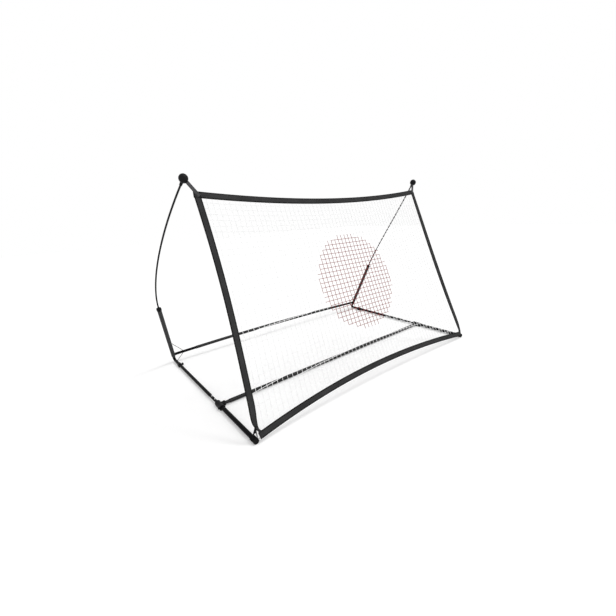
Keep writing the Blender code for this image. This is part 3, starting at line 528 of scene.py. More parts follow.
def cord_outline(radius, sides):
    """Round section; u runs round it."""
    angles = [math.tau * share for share in shares(sides)]
    return [(radius * math.cos(angle), radius * math.sin(angle), radius * angle) for angle in angles]


def strip_outline(width, thickness, seam=0.0, steps=24, plies=1):
    """Section of webbing with rounded edges; u runs across it, from 0 to its width, on both faces.

    It dips along a seam near each edge, if seam says how far that is from the middle, and has a groove in its
    edges where two plies meet.
    """
    half = width / 2
    deep = thickness / 2
    ease = deep * 0.8
    flat = half - ease
    face = []
    for share in shares(steps):
        x = flat * (2 * share - 1)
        dip = SEAM_DIP * math.exp(-((abs(x) - seam) / SEAM_SPREAD) ** 2) if seam else 0.0
        face.append((x, deep - dip))
    shoulder = []
    for angle in (math.pi / 6, math.pi / 3):
        shoulder.append((flat + ease * math.sin(angle), deep * math.cos(angle)))
    meeting = (half - PLY_GROOVE * (plies - 1), 0.0)
    edge = shoulder + [meeting] + [(x, -y) for x, y in reversed(shoulder)]
    turn = face + edge
    turn += [(-x, -y) for x, y in turn]
    turn.append(turn[0])
    return [(x, y, x + half) for x, y in reversed(turn)]


def stations_along(places, out, sizes=None):
    """Stations along a line with one outward direction."""
    stations = []
    distance = 0.0
    last = len(places) - 1
    for i, place in enumerate(places):
        run = (places[min(i + 1, last)] - places[max(i - 1, 0)]).normalized()
        if i:
            distance += (place - places[i - 1]).length
        stations.append((place, run, out, sizes[i] if sizes else (1.0, 1.0), distance))
    return stations


def stations_round(places, across):
    """Stations along a line that bends about one direction across it."""
    stations = []
    for place, run, _, size, distance in stations_along(places, across):
        stations.append((place, run, run.cross(across).normalized(), size, distance))
    return stations


def along(places, distance):
    """Point and direction at a distance along a line of points, short of its end."""
    travelled = 0.0
    for start, end in zip(places, places[1:]):
        step = (end - start).length
        if travelled + step >= distance:
            break
        travelled += step
    run = (end - start) / step
    return start + run * (distance - travelled), run


def line_length(places):
    return sum((b - a).length for a, b in zip(places, places[1:]))


def add_seam(sweeps, places, out):
    """Row of short stitches along a line, each thickest in its middle."""
    outline = cord_outline(STITCH_RADIUS, STITCH_SIDES)
    total = line_length(places)
    count = max(1, int(total / STITCH_PITCH))
    for i in range(count):
        middle, run = along(places, total * (i + 0.5) / count)
        half = run * (STITCH_LENGTH / 2)
        stitch = [(middle - half, run, out, (0.5, 0.5), 0.0), (middle, run, out, (1, 1), STITCH_LENGTH / 2),
                  (middle + half, run, out, (0.5, 0.5), STITCH_LENGTH)]
        sweeps.add(stitch, outline)


def box_of_stitches(sweeps, middle, along_side, across, half, height):
    """Square of stitches with its diagonals, on both faces of a lapped joint."""
    corners = []
    for x, y in ((-1, -1), (1, -1), (1, 1), (-1, 1)):
        corners.append(middle + along_side * (half * x) + across * (half * y))
    for start, end in ((0, 1), (1, 2), (2, 3), (3, 0), (0, 2), (1, 3)):
        for face in (-height, height):
            add_seam(sweeps, [corners[start] + NET_OUT * face, corners[end] + NET_OUT * face], NET_OUT)


def sew(seams, name, slot, body=None):
    """Hands over a piece's stitches; without a body their placing is made part of their mesh, like the net's.
    """
    thread = hand_over(seams.build(), name, sewing_thread(), slot, body)
    thread.data.shade_smooth()
    if not body:
        follow_poles(thread)


# The net's shape: s runs from -1 to 1, left to right, and t from 0 to 1, bottom to top

def net_half(t, which="left"):
    """From the net's middle to the centre line of a side border."""
    straight = NET_BOTTOM_HALF + (NET_TOP_HALF - NET_BOTTOM_HALF) * t
    depth, lift = NET_SIDE_BOW[which]
    return straight - depth * math.sin(math.pi * t) * (1 + lift * (2 * t - 1))


def net_rise(s):
    """How far the bottom edge lies above the line between its corners."""
    return (1 - s * s) * (NET_BOTTOM_RISE - NET_BOTTOM_LEAN * s)


def net_stretch(s):
    """From the bottom edge to the top edge."""
    return NET_REACH.length - net_rise(s) - (1 - s * s) * NET_TOP_SAG


def net_point(s, t):
    height = net_rise(s) + t * net_stretch(s)
    half = net_half(t, "right" if s > 0 else "left")
    return NET_BOTTOM + RIGHT * (s * half) + NET_UP * height


def net_corner(side, inwards, level):
    """Point on the top or the bottom edge, at a distance from one of its ends."""
    return net_point(side * (1 - inwards / net_half(level)), level)


def side_twist(which, level):
    """Angle by which a side border's outer edge turns towards the player at a share of the net's height."""
    return SIDE_TWIST[which] * math.sin(math.pi * min(1.0, max(0.0, level)))


def follow_poles(piece):
    """Makes the placing of a piece of the net part of its mesh."""
    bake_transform(piece)


# Shader nodes

def add_node(tree, kind, inputs=None, **settings):
    """Adds a node; inputs take a value or another node's output."""
    made = tree.nodes.new(kind)
    for name, value in settings.items():
        setattr(made, name, value)
    for socket, value in (inputs or {}).items():
        if isinstance(value, bpy.types.NodeSocket):
            tree.links.new(value, made.inputs[socket])
        else:
            made.inputs[socket].default_value = value
    return made


def scaled(tree, value, low, high, from_low=0.0, from_high=1.0):
    """Maps a value from one range to another, clamped."""
    inputs = {"Value": value, "From Min": from_low, "From Max": from_high, "To Min": low, "To Max": high}
    return add_node(tree, "ShaderNodeMapRange", inputs).outputs[0]


def calculated(tree, operation, first, second=0.0):
    return add_node(tree, "ShaderNodeMath", {0: first, 1: second}, operation=operation).outputs[0]


def mixed(tree, share, first, second):
    """Colour between two others."""
    return add_node(tree, "ShaderNodeMix", {0: share, 6: first, 7: second}, data_type="RGBA").outputs[2]


def noise(tree, scale, detail=2.0, roughness=0.5):
    """Noise in the object's own coordinates."""
    place = add_node(tree, "ShaderNodeTexCoord").outputs["Object"]
    inputs = {"Vector": place, "Scale": scale, "Detail": detail, "Roughness": roughness}
    return add_node(tree, "ShaderNodeTexNoise", inputs).outputs[0]


def strip_places(tree):
    """Distances across and along a cord or strip, from its UV map in metres."""
    place = add_node(tree, "ShaderNodeTexCoord").outputs["UV"]
    return add_node(tree, "ShaderNodeSeparateXYZ", {0: place}).outputs


def surface_grain(tree, given):
    """Fine grain with broad, faint patches, for coats and mouldings."""
    grain = noise(tree, given["Grain Scale"])
    patch = noise(tree, given["Patch Scale"], 5.0, 0.65)
    spread = calculated(tree, "SUBTRACT", patch, 0.5)
    worn = calculated(tree, "MULTIPLY", scaled(tree, patch, 0.0, 1.0, 0.52, 0.80), given["Wear"])
    dulled = calculated(tree, "MULTIPLY", spread, given["Unevenness"])
    rough = calculated(tree, "ADD", given["Roughness"], dulled)
    return mixed(tree, worn, given["Colour"], given["Worn Colour"]), grain, rough


def webbing_weave(tree, given):
    """Plain weave, with painted shade darkening it towards the strip's edges."""
    places = strip_places(tree)
    waves = []
    for place in places[:2]:
        turns = calculated(tree, "DIVIDE", place, given["Thread Width"])
        waves.append(calculated(tree, "SINE", calculated(tree, "MULTIPLY", turns, math.pi)))
    over = calculated(tree, "GREATER_THAN", calculated(tree, "MULTIPLY", *waves), 0.0)
    ridges = [calculated(tree, "ABSOLUTE", wave) for wave in waves]
    swap = calculated(tree, "MULTIPLY", calculated(tree, "SUBTRACT", ridges[1], ridges[0]), over)
    height = calculated(tree, "ADD", ridges[0], swap)
    fuzz = noise(tree, 900.0, 3.0)
    cloud = noise(tree, 14.0, 4.0)
    rough_height = calculated(tree, "ADD", calculated(tree, "MULTIPLY", fuzz, 0.5), height)
    colour = mixed(tree, scaled(tree, height, 0.25, 1.0), given["Gap Colour"], given["Thread Colour"])
    faded = calculated(tree, "MULTIPLY", scaled(tree, cloud, 1.0, 0.0, 0.35, 0.65), given["Fade"])
    spread = calculated(tree, "DIVIDE", places[0], given["Strip Width"])
    off_middle = calculated(tree, "ABSOLUTE", calculated(tree, "SUBTRACT", spread, 0.5))
    # Painted shade: near the strip's edges the colour is darkened towards the gap colour, then mixed with the
    # random fade
    edge = calculated(tree, "MULTIPLY", scaled(tree, off_middle, 0.0, 1.0, 0.24, 0.40), given["Painted Edge Shade"])
    faded_and_edge_shaded = mixed(tree, calculated(tree, "MAXIMUM", faded, edge), colour, given["Gap Colour"])
    return faded_and_edge_shaded, rough_height, scaled(tree, fuzz, 0.78, 0.95)


def cord_braid(tree, given):
    """Two twists of strands that cross, with painted shade in the hollows between them."""
    places = strip_places(tree)
    round_turns = calculated(tree, "DIVIDE", places[0], given["Girth"])
    long_turns = calculated(tree, "DIVIDE", places[1], given["Pitch"])
    twists = []
    for operation in ("ADD", "SUBTRACT"):
        turns = calculated(tree, operation, long_turns, calculated(tree, "MULTIPLY", round_turns, 2.0))
        wave = calculated(tree, "SINE", calculated(tree, "MULTIPLY", turns, math.tau))
        twists.append(calculated(tree, "ABSOLUTE", wave))
    height = calculated(tree, "MAXIMUM", *twists)
    # Painted shade: the braid's hollows take the darker shade colour
    colour = mixed(tree, scaled(tree, height, 0.2, 0.9), given["Painted Shade Colour"], given["Cord Colour"])
    return colour, height, scaled(tree, height, 0.92, 0.75)


def shared_group(name, labels, pattern):
    """Node group with labelled inputs that gives a colour, a height and a roughness, made once."""
    tree = bpy.data.node_groups.get(name)
    if tree:
        return tree
    tree = bpy.data.node_groups.new(name, "ShaderNodeTree")
    for direction, names in (("INPUT", labels), ("OUTPUT", ("Colour", "Height", "Roughness"))):
        for label in names:
            kind = "NodeSocketColor" if "Colour" in label else "NodeSocketFloat"
            tree.interface.new_socket(label, in_out=direction, socket_type=kind)
    given = tree.nodes.new("NodeGroupInput").outputs
    result = tree.nodes.new("NodeGroupOutput").inputs
    for value, socket in zip(pattern(tree, given), result):
        tree.links.new(value, socket)
    return tree


# Finishes

def rgba(colour):
    return (*colour, 1.0)


def new_finish(name, group, pattern, values, relief, specular, metallic=0.0):
    """Principled material fed by a shared node group; relief is the bump's distance in metres."""
    made = bpy.data.materials.get(name)
    if made:
        return made
    made = bpy.data.materials.new(name)
    made.use_nodes = True
    tree = made.node_tree
    shader = tree.nodes["Principled BSDF"].inputs
    fed = add_node(tree, "ShaderNodeGroup", values, node_tree=shared_group(group, values, pattern)).outputs
    bump = add_node(tree, "ShaderNodeBump", {"Height": fed["Height"], "Distance": relief})
    tree.links.new(fed["Colour"], shader["Base Color"])
    tree.links.new(fed["Roughness"], shader["Roughness"])
    tree.links.new(bump.outputs[0], shader["Normal"])
    shader["Specular IOR Level"].default_value = specular
    shader["Metallic"].default_value = metallic
    return made


def grained(name, coat, worn, grain, patch, rough, uneven, wear, relief, specular, metallic=0.0):
    """Coat or moulding; coat and worn name its colours among the settings."""
    colours = bpy.context.scene.rebounder_finish
    values = {"Colour": rgba(getattr(colours, coat)), "Worn Colour": rgba(getattr(colours, worn)),
              "Grain Scale": grain, "Patch Scale": patch, "Roughness": rough, "Unevenness": uneven,
              "Wear": wear}
    return new_finish(name, "Surface grain", surface_grain, values, relief, specular, metallic)


def powder_coat():
    return grained("satin_powder_coat", "coat", "coat_worn", grain=1400.0, patch=22.0, rough=0.34,
                   uneven=0.16, wear=0.35, relief=0.00003, specular=0.035)


def glossy_coat():
    """The coat of the cross tubes, which catch the light along their tops."""
    return grained("glossy_powder_coat", "cross", "coat", grain=1400.0, patch=22.0, rough=0.20,
                   uneven=0.10, wear=0.25, relief=0.00003, specular=0.26)


def socket_coat():
    """The same coat, duller, as on the sockets; its greyer colour is a painted sheen."""
    return grained("socket_coat_painted_grey_sheen", "socket", "coat", grain=1400.0, patch=22.0, rough=0.50,
                   uneven=0.16, wear=0.35, relief=0.00003, specular=0.12)


def moulded_plastic():
    return grained("moulded_black_nylon", "plastic", "plastic_worn", grain=2200.0, patch=30.0, rough=0.42,
                   uneven=0.20, wear=0.30, relief=0.00004, specular=0.07)


def cap_rubber():
    return grained("dull_black_rubber", "rubber", "rubber_worn", grain=1600.0, patch=45.0, rough=0.78,
                   uneven=0.15, wear=0.55, relief=0.00005, specular=0.04)


def fibreglass():
    return grained("polished_fibreglass", "pole", "coat_worn", grain=500.0, patch=12.0, rough=0.26,
                   uneven=0.12, wear=0.15, relief=0.00001, specular=0.12)


def spring_steel():
    return grained("bright_spring_steel", "spring", "spring_worn", grain=900.0, patch=60.0, rough=0.28,
                   uneven=0.20, wear=0.50, relief=0.00001, specular=0.50, metallic=1.0)


def woven(name, thread, gap, width, fade, relief, strip=1.0, edge=0.0):
    """Webbing; thread and gap name its colours among the settings, width is a thread's and strip its own, and
    edge is how dark its painted edge shade is.
    """
    colours = bpy.context.scene.rebounder_webbing
    values = {"Thread Colour": rgba(getattr(colours, thread)), "Gap Colour": rgba(getattr(colours, gap)),
              "Thread Width": width, "Fade": fade, "Strip Width": strip, "Painted Edge Shade": edge}
    return new_finish(name, "Webbing weave", webbing_weave, values, relief, specular=0.04)


def border_webbing():
    # The border's edges get painted shade (edge=0.9)
    return woven("charcoal_border_webbing", "border", "border_gap", width=0.0011, fade=0.30, relief=0.00018,
                 strip=border_width(), edge=0.9)


def strap_webbing():
    return woven("grey_strap_webbing", "strap", "strap_gap", width=0.0010, fade=0.35, relief=0.00016)


def loop_webbing():
    return woven("black_loop_webbing", "loop", "border_gap", width=0.0010, fade=0.35, relief=0.00012)


def sewing_thread():
    return woven("bonded_sewing_thread", "thread", "border_gap", width=0.0004, fade=0.0, relief=0.00005)


def net_cord(name, cord, shade):
    """Braided cord; cord and shade name its colours among the settings, shade being the painted shade in its
    braid's hollows.
    """
    settings = bpy.context.scene.rebounder_net
    values = {"Cord Colour": rgba(getattr(settings, cord)), "Painted Shade Colour": rgba(getattr(settings, shade)),
              "Girth": math.pi * settings.cord_diameter, "Pitch": 0.007}
    return new_finish(name, "Cord braid", cord_braid, values, relief=0.00015, specular=0.12)


# Settings that a user would change

def colour_setting(label, description, default):
    return bpy.props.FloatVectorProperty(name=label, description=description, default=default, size=3,
                                         min=0.0, max=1.0, subtype="COLOR")


def length_setting(label, description, default, least, most):
    return bpy.props.FloatProperty(name=label, description=description, default=default, min=least,
                                   max=most, precision=4, unit="LENGTH")


def count_setting(label, description, default, least, most):
    return bpy.props.IntProperty(name=label, description=description, default=default, min=least, max=most)


def strength_setting(label, description, default, most=20.0):
    return bpy.props.FloatProperty(name=label, description=description, default=default, min=0.0, max=most)


class FinishSettings(bpy.types.PropertyGroup):
    """Colours of the frame's coats and mouldings."""
    coat: colour_setting("Coat", "Powder coat on the side tubes", (0.0035, 0.0035, 0.0040))
    coat_worn: colour_setting("Worn coat", "The coat where it is handled and dusty", (0.010, 0.010, 0.011))
    cross: colour_setting("Cross tubes", "Coat of the crossbar and the rear bar", (0.006, 0.006, 0.0065))
    # Painted sheen: this grey, lighter than the coat, stands for the light on the sockets
    socket: colour_setting("Sockets", "Coat of the pole sockets", (0.048, 0.048, 0.049))
    plastic: colour_setting("Plastic", "Tees, collars, knobs and ball caps", (0.009, 0.009, 0.010))
    plastic_worn: colour_setting("Worn plastic", "The plastic where it is scuffed", (0.028, 0.028, 0.029))
    rubber: colour_setting("Rubber", "End caps", (0.010, 0.010, 0.010))
    rubber_worn: colour_setting("Dusty rubber", "The caps where they touch the ground", (0.040, 0.038, 0.036))
    pole: colour_setting("Pole", "Fibreglass of the bowed poles", (0.012, 0.012, 0.013))
    spring: colour_setting("Spring steel", "Buttons and their springs", (0.50, 0.50, 0.51))
    spring_worn: colour_setting("Worn steel", "The steel where it is stained", (0.30, 0.29, 0.28))


class NetSettings(bpy.types.PropertyGroup):
    """Mesh, cords and target of the net."""
    cells_across: count_setting("Cells across", "Squares from side to side", 58, 8, 80)
    cells_up: count_setting("Cells up", "Squares from bottom to top", 38, 6, 60)
    cord_diameter: length_setting("Cord", "Diameter of a strand between its knots", 0.0019, 0.001, 0.006)
    knot_diameter: length_setting("Knot", "Diameter where two strands cross", 0.0027, 0.001, 0.009)
    target_cord_diameter: length_setting("Target cord", "Diameter of a red strand", 0.0023, 0.001, 0.006)
    target_radius: length_setting("Target", "Radius of the round target", 0.245, 0.05, 0.4)
    cord_colour: colour_setting("Cord", "Cords of the net", (0.97, 0.97, 0.97))
    # Painted shade in the hollows of the white cords' braid
    cord_painted_shade: colour_setting("Cord shade", "Hollows of the cords' braid", (0.88, 0.88, 0.89))
    target_colour: colour_setting("Target", "Cords of the round target", (0.27, 0.024, 0.018))
    # Painted shade in the hollows of the red cords' braid
    target_painted_shade: colour_setting("Target shade", "Hollows of the target cords' braid", (0.13, 0.012, 0.009))


class WebbingSettings(bpy.types.PropertyGroup):
    """Borders, straps and thread."""
    border_width: length_setting("Border", "Width of the border webbing", 0.028, 0.015, 0.05)
    border: colour_setting("Border", "Threads of the border webbing", (0.058, 0.058, 0.059))
    # Border gaps also give the colour of the painted shade along the border's edges
    border_gap: colour_setting("Border gaps", "Between the border's threads", (0.007, 0.007, 0.007))
    strap: colour_setting("Strap", "Threads of the straps", (0.105, 0.105, 0.108))
    strap_gap: colour_setting("Strap gaps", "Between the straps' threads", (0.030, 0.030, 0.031))
    loop: colour_setting("Loop", "Threads of the bottom loops and tabs", (0.014, 0.014, 0.015))
    thread: colour_setting("Thread", "Stitches of the seams", (0.030, 0.030, 0.030))


class StageSettings(bpy.types.PropertyGroup):
    """Floor and light."""
    key: strength_setting("Key light", "Strength of the soft light from the right", 0.95)
    key_softness: bpy.props.FloatProperty(name="Softness", description="Width of the soft lights in the sky",
                                          default=math.radians(60), min=0.0, max=math.pi, subtype="ANGLE")
    fill: strength_setting("Fill light", "Strength of the light from the front", 0.4)
    glint: strength_setting("Glint", "Strength of the narrow light that shines on the tubes", 0.75)
    sky: strength_setting("Sky", "Strength of the white surroundings", 0.55, 2.0)
    floor: colour_setting("Floor", "Pale floor under the object", (0.80, 0.80, 0.80))


def border_width():
    return bpy.context.scene.rebounder_webbing.border_width


# Stage

def white_for_the_camera(tree):
    """1 for camera, glossy and transmission rays, which see the white background, and 0 for the rest."""
    rays = add_node(tree, "ShaderNodeLightPath").outputs
    seen = calculated(tree, "MAXIMUM", rays["Is Camera Ray"], rays["Is Glossy Ray"])
    return calculated(tree, "MAXIMUM", seen, rays["Is Transmission Ray"])


def lay_floor(settings):
    bpy.ops.mesh.primitive_plane_add(size=FLOOR_SIZE)
    floor = bpy.context.object
    floor.name = "studio_floor"
    paint = bpy.data.materials.new("studio_floor_paint")
    paint.use_nodes = True
    tree = paint.node_tree
    tree.nodes.clear()
    patches = scaled(tree, noise(tree, 3.0), 0.0, FLOOR_PATCHINESS)
    tint = mixed(tree, patches, rgba(settings.floor), rgba(FLOOR_PATCHES))
    matt = add_node(tree, "ShaderNodeBsdfDiffuse", {"Color": tint})
    lift = calculated(tree, "MULTIPLY", white_for_the_camera(tree), FLOOR_GLOW)
    glow = add_node(tree, "ShaderNodeEmission", {"Strength": lift})
    both = add_node(tree, "ShaderNodeAddShader", {0: matt.outputs[0], 1: glow.outputs[0]})
    add_node(tree, "ShaderNodeOutputMaterial", {"Surface": both.outputs[0]})
    floor.data.materials.append(paint)


def light_sky(settings):
    world = bpy.data.worlds.new("white_studio")
    bpy.context.scene.world = world
    world.use_nodes = True
    tree = world.node_tree
    sky = tree.nodes["Background"]
    sky.inputs["Color"].default_value = (1, 1, 1, 1)
    strength = scaled(tree, white_for_the_camera(tree), settings.sky, 1.0)
    tree.links.new(strength, sky.inputs["Strength"])


def hang_lamp(name, place, strength, softness):
    """Wide soft light that falls alike on the whole floor, from the side of a place."""
    light = bpy.data.lights.new(name, "SUN")
    light.energy = strength
    light.angle = softness
    lamp = bpy.data.objects.new(name, light)
    lamp.location = place
    lamp.rotation_mode = "QUATERNION"
    lamp.rotation_quaternion = (-Vector(place)).to_track_quat("-Z", "Y")
    bpy.context.collection.objects.link(lamp)


def set_camera():
    """Camera where the photograph was taken from, with its slight roll."""
    forward = Vector((-math.sin(CAMERA_AZIMUTH) * math.cos(CAMERA_ELEVATION),
                      math.cos(CAMERA_AZIMUTH) * math.cos(CAMERA_ELEVATION), -math.sin(CAMERA_ELEVATION)))
    level = Vector((math.cos(CAMERA_AZIMUTH), math.sin(CAMERA_AZIMUTH), 0))
    across = level * math.cos(CAMERA_ROLL) + level.cross(forward) * math.sin(CAMERA_ROLL)
    camera = bpy.data.objects.new("photo_camera", bpy.data.cameras.new("photo_camera"))
    camera.data.sensor_width = CAMERA_SENSOR
    camera.data.lens = CAMERA_LENS
    camera.data.clip_start = 0.02
    turn = Matrix((across, across.cross(forward), -forward)).transposed()
    camera.matrix_world = Matrix.Translation(CAMERA_PLACE) @ turn.to_4x4()
    bpy.context.collection.objects.link(camera)
    bpy.context.scene.camera = camera


# Floor frame

def steel_tube(name, node, hint, finish=None):
    """Straight tube as long and as thick as its solid, its cut ends eased."""
    start, end = axis_ends(node, hint)
    bore, outer = wall_radii(node, start, end)
    half = [(bore, EDGE), (bore + EDGE, 0), (outer - EDGE, 0), (outer, EDGE)]
    tube = turned(mirrored(half, (end - start).length), start, end - start, closed=True)
    return coated(tube, name, node, finish)


def neck(name):
    """Slim tube with its two button holes."""
    tube = steel_tube(f"neck_{name}", f"neck_tube_{name}", BACK)
    for number in (1, 2):
        low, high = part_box(f"snap_button_{name}_{number}")
        middle = (low + high) / 2
        hole = bar(BUTTON_DIAMETER / 2 + FIT_GAP, high.z, (middle.x, middle.y, low.z), UP, ROUND_SMALL)
        combine(tube, hole, "DIFFERENCE")
    pick(tube)
    bpy.ops.object.shade_smooth_by_angle(angle=SHARP_ANGLE)


def crossbar():
    """Tube with drawn-down ends that plug into the tees."""
    start, end = axis_ends("crossbar", RIGHT)
    bore, outer = wall_radii("crossbar", start, end)
    plug = CROSSBAR_PLUG_DIAMETER / 2
    half = [(bore, EDGE), (bore + EDGE, 0), (plug - EDGE, 0), (plug, EDGE), (plug, CROSSBAR_PLUG_LENGTH)]
    step = outer - plug
    for share in shares(4)[1:]:
        swell = (1 - math.cos(math.pi * share)) / 2
        half.append((plug + step * swell, CROSSBAR_PLUG_LENGTH + step * CROSSBAR_SHOULDER * share))
    tube = turned(mirrored(half, (end - start).length), start, end - start, closed=True)
    coated(tube, "cross_tube", "crossbar", glossy_coat())


def elbow_path(name):
    """From the joint in the lock collar round the corner and up into the socket."""
    node = f"elbow_{name}"
    place, run = side_run(name)
    _, rise = socket_run(name)
    corner = corner_place(name)
    turn = math.acos(run.dot(rise))
    bend_start = corner - run * (ELBOW_RADIUS * math.tan(turn / 2))
    inward = (rise - run * run.dot(rise)).normalized()
    centre = bend_start + inward * ELBOW_RADIUS
    path = [place + run * reach_along(node, place, run)[0]]
    for share in shares(14):
        angle = turn * share
        path.append(centre + (run * math.sin(angle) - inward * math.cos(angle)) * ELBOW_RADIUS)
    path.append(corner + rise * reach_along(node, corner, rise)[1])
    return path


def elbow(name):
    """Bent tube; its front end is drawn down where the lock collar hides it."""
    path = elbow_path(name)
    place, run = side_run(name)
    _, tube_end = reach_along(f"rear_side_tube_{name}", place, run)
    bore, outer = tube_radii(f"rear_side_tube_{name}", BACK)
    shoulder = place + run * (tube_end + END_GAP)
    pipe = bent_rod([shoulder] + path[1:], outer, ROUND, outer - bore)
    fit = bore - FIT_GAP
    length = (shoulder - path[0]).length + EDGE
    profile = [(fit - 2 * EDGE, 0), (fit - EDGE, 0), (fit, EDGE), (fit, length), (fit - 2 * EDGE, length)]
    spigot = turned(profile, path[0], run, closed=True)
    coated(join([pipe, spigot]), f"corner_elbow_{name}", f"elbow_{name}")


def rear_arch(first, last, steps):
    """Part of the rear bar's axis: a shallow arch through the ends and the middle of its solid."""
    _, end = axis_ends("rear_bar", RIGHT)
    low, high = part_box("rear_bar")
    middle = high.z - (high.y - low.y) / 2
    path = []
    for share in shares(steps):
        x = first + (last - first) * share
        path.append(Vector((x, end.y, middle - (middle - end.z) * (x / end.x) ** 2)))
    return path


def rear_bar():
    low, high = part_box("rear_bar")
    tube = bent_rod(rear_arch(low.x, high.x, 32), (high.y - low.y) / 2, ROUND, REAR_BAR_WALL)
    ease_edges(tube, EDGE, 1)
    coated(tube, "rear_tube_middle", "rear_bar", glossy_coat())


def rear_stub(name):
    """Slim end of the rear bar, cut round the socket."""
    node = f"rear_bar_stub_{name}"
    low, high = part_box(node)
    near = high.x if name == "left" else low.x
    foot, rise = socket_run(name)
    stub = bent_rod(rear_arch(near, foot.x, 8), (high.y - low.y) / 2, ROUND, REAR_BAR_WALL)
    _, socket = tube_radii(f"pole_socket_{name}", UP)
    combine(stub, bar(socket + FIT_GAP, 0.2, foot - rise * 0.05, rise), "DIFFERENCE")
    coated(stub, f"rear_tube_stub_{name}", node)


def brace(name):
    """Wire from the socket past the stub to the side tube, with a weld bead at each end."""
    node = f"corner_brace_{name}"
    points = solid_points(node)
    heights = points[:, 2]
    top = Vector(points[heights > heights.max() - BRACE_END].mean(axis=0))
    bottom = Vector(points[heights < heights.min() + BRACE_END].mean(axis=0))
    bend = Vector(points[np.argsort(abs(points[:, 0]))[:BRACE_BEND_CORNERS]].mean(axis=0))
    bend -= (bend - (top + bottom) / 2).normalized() * BRACE_BEND_SHIFT
    first = bend.lerp(top, BRACE_BEND_SHARE)
    last = bend.lerp(bottom, BRACE_BEND_SHARE)
    path = [top]
    for t in shares(8):
        path.append(first * (1 - t) ** 2 + bend * (2 * t * (1 - t)) + last * t ** 2)
    path.append(bottom)
    parts = [bent_rod(path, BRACE_RADIUS, WIRE_SIDES)]
    for place in (top, bottom):
        bpy.ops.mesh.primitive_uv_sphere_add(segments=16, ring_count=10, radius=BRACE_BEAD_RADIUS,
                                             location=place)
        bead = bpy.context.object
        bead.scale = (1.0, 1.0, BRACE_BEAD_HEIGHT)
        apply_place(bead)
        parts.append(bead)
    coated(join(parts), f"brace_wire_{name}", node)


# Moulded fittings

def end_cap(name):
    """Rubber cap with a rounded face, the strap's groove and grip ribs behind it."""
    node = f"front_end_cap_{name}"
    place, run = side_run(name)
    cap_start, cap_end = reach_along(node, place, run)
    length = cap_end - cap_start
    _, outer = wall_radii(node, place, place + run)
    _, tube = wall_radii(f"front_side_tube_{name}", place, place + run)
    centre = outer - CAP_ROUND
    profile = [*CAP_FACE, (centre, 0)]
    for angle in (30, 60, 90):
        turn = math.radians(angle)
        profile.append((centre + CAP_ROUND * math.sin(turn), CAP_ROUND - CAP_ROUND * math.cos(turn)))
    groove = CAP_GROOVE_DIAMETER / 2
    start, end = CAP_GROOVE
    inwards, back = CAP_GROOVE_EDGE
    profile += [(outer, start - CAP_BEVEL), (outer - inwards, start), (groove, start + back),
                (groove, end - back), (outer - inwards, end), (outer, end + CAP_BEVEL)]
    pitch = (length - end - 2 * CAP_RIB_INSET) / CAP_RIBS
    for rib in range(CAP_RIBS):
        base = end + CAP_RIB_INSET + pitch * rib
        profile += [(outer - CAP_BEVEL * deep, base + pitch * share) for deep, share in CAP_RIB_HOLLOW]
    mouth = tube + FIT_GAP
    profile += [(outer, length - CAP_BEVEL), (outer - CAP_BEVEL, length), (mouth + EDGE, length),
                (mouth, length - EDGE), (mouth, CAP_FACE_THICKNESS), (CAP_FACE[0][0], CAP_FACE_THICKNESS)]
    cap = turned(profile, place + run * cap_start, run)
    hand_over(cap, f"rubber_end_cap_{name}", cap_rubber(), "cap_rubber", "frame", node)


def sleeve(outer, length, lip, waist, start, run):
    """Solid sleeve with a raised lip at both mouths and a slimmer waist between them."""
    half = [(outer - MOULD_EDGE, 0), (outer, MOULD_EDGE), (outer, lip), (outer - waist, lip + waist)]
    return turned(mirrored(half, length), start, run)


def add_boss(body, start, axis, wall, length):
    """Raised seat of a thumb screw; returns the tool for its hole."""
    radius = BOSS_DIAMETER / 2
    seat = turned([(radius + MOULD_EDGE, 0), (radius, wall), (radius, wall + BOSS_HEIGHT)], start, axis,
                  ROUND_SMALL)
    combine(body, seat, "UNION")
    return bar(SHANK_DIAMETER / 2 + FIT_GAP, length, start, axis, ROUND_SMALL)


def tee(name):
    """Moulded body round the side tube, with a branch for the crossbar and a flat sole."""
    node = f"tee_{name}"
    place, run = side_run(name)
    first, last = reach_along(node, place, run)
    length = last - first
    start = place + run * first
    middle = start + run * (length / 2)
    _, tube = wall_radii(f"front_side_tube_{name}", place, place + run)
    outer = float(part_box(node)[1].z) - place.z
    body = sleeve(outer, length, TEE_LIP, TEE_WAIST, start, run)

    bar_start, _ = axis_ends("crossbar", RIGHT)
    inward = RIGHT * -SIDES[name]
    branch_start = place + run * ((bar_start.y - place.y) / run.y)
    _, reach = reach_along(node, branch_start, inward)
    radius = TEE_BRANCH_DIAMETER / 2
    profile = [(radius - TEE_WAIST, 0), (radius - TEE_WAIST, reach - TEE_LIP - TEE_WAIST),
               (radius, reach - TEE_LIP), (radius, reach - MOULD_EDGE), (radius - MOULD_EDGE, reach)]
    combine(body, turned(profile, branch_start, inward), "UNION")
    sole_size = (TEE_SOLE_WIDTH, length - 2 * END_GAP, 2 * place.z)
    combine(body, block(sole_size, (middle.x, middle.y, 0), run.cross(UP), run), "UNION")
    screw_hole = add_boss(body, *joint_axis(f"{name}_tee_screw_turn"), outer, length)
    for tool in (block((length * 3, length * 3, length), (middle.x, middle.y, -length / 2)),
                 bar(tube + FIT_GAP, 2 * length, start - run * (length / 2), run),
                 bar(CROSSBAR_PLUG_DIAMETER / 2 + FIT_GAP, length, branch_start, inward),
                 screw_hole):
        combine(body, tool, "DIFFERENCE")
    ease_edges(body, EDGE)
    moulded(body, f"moulded_tee_{name}", node)


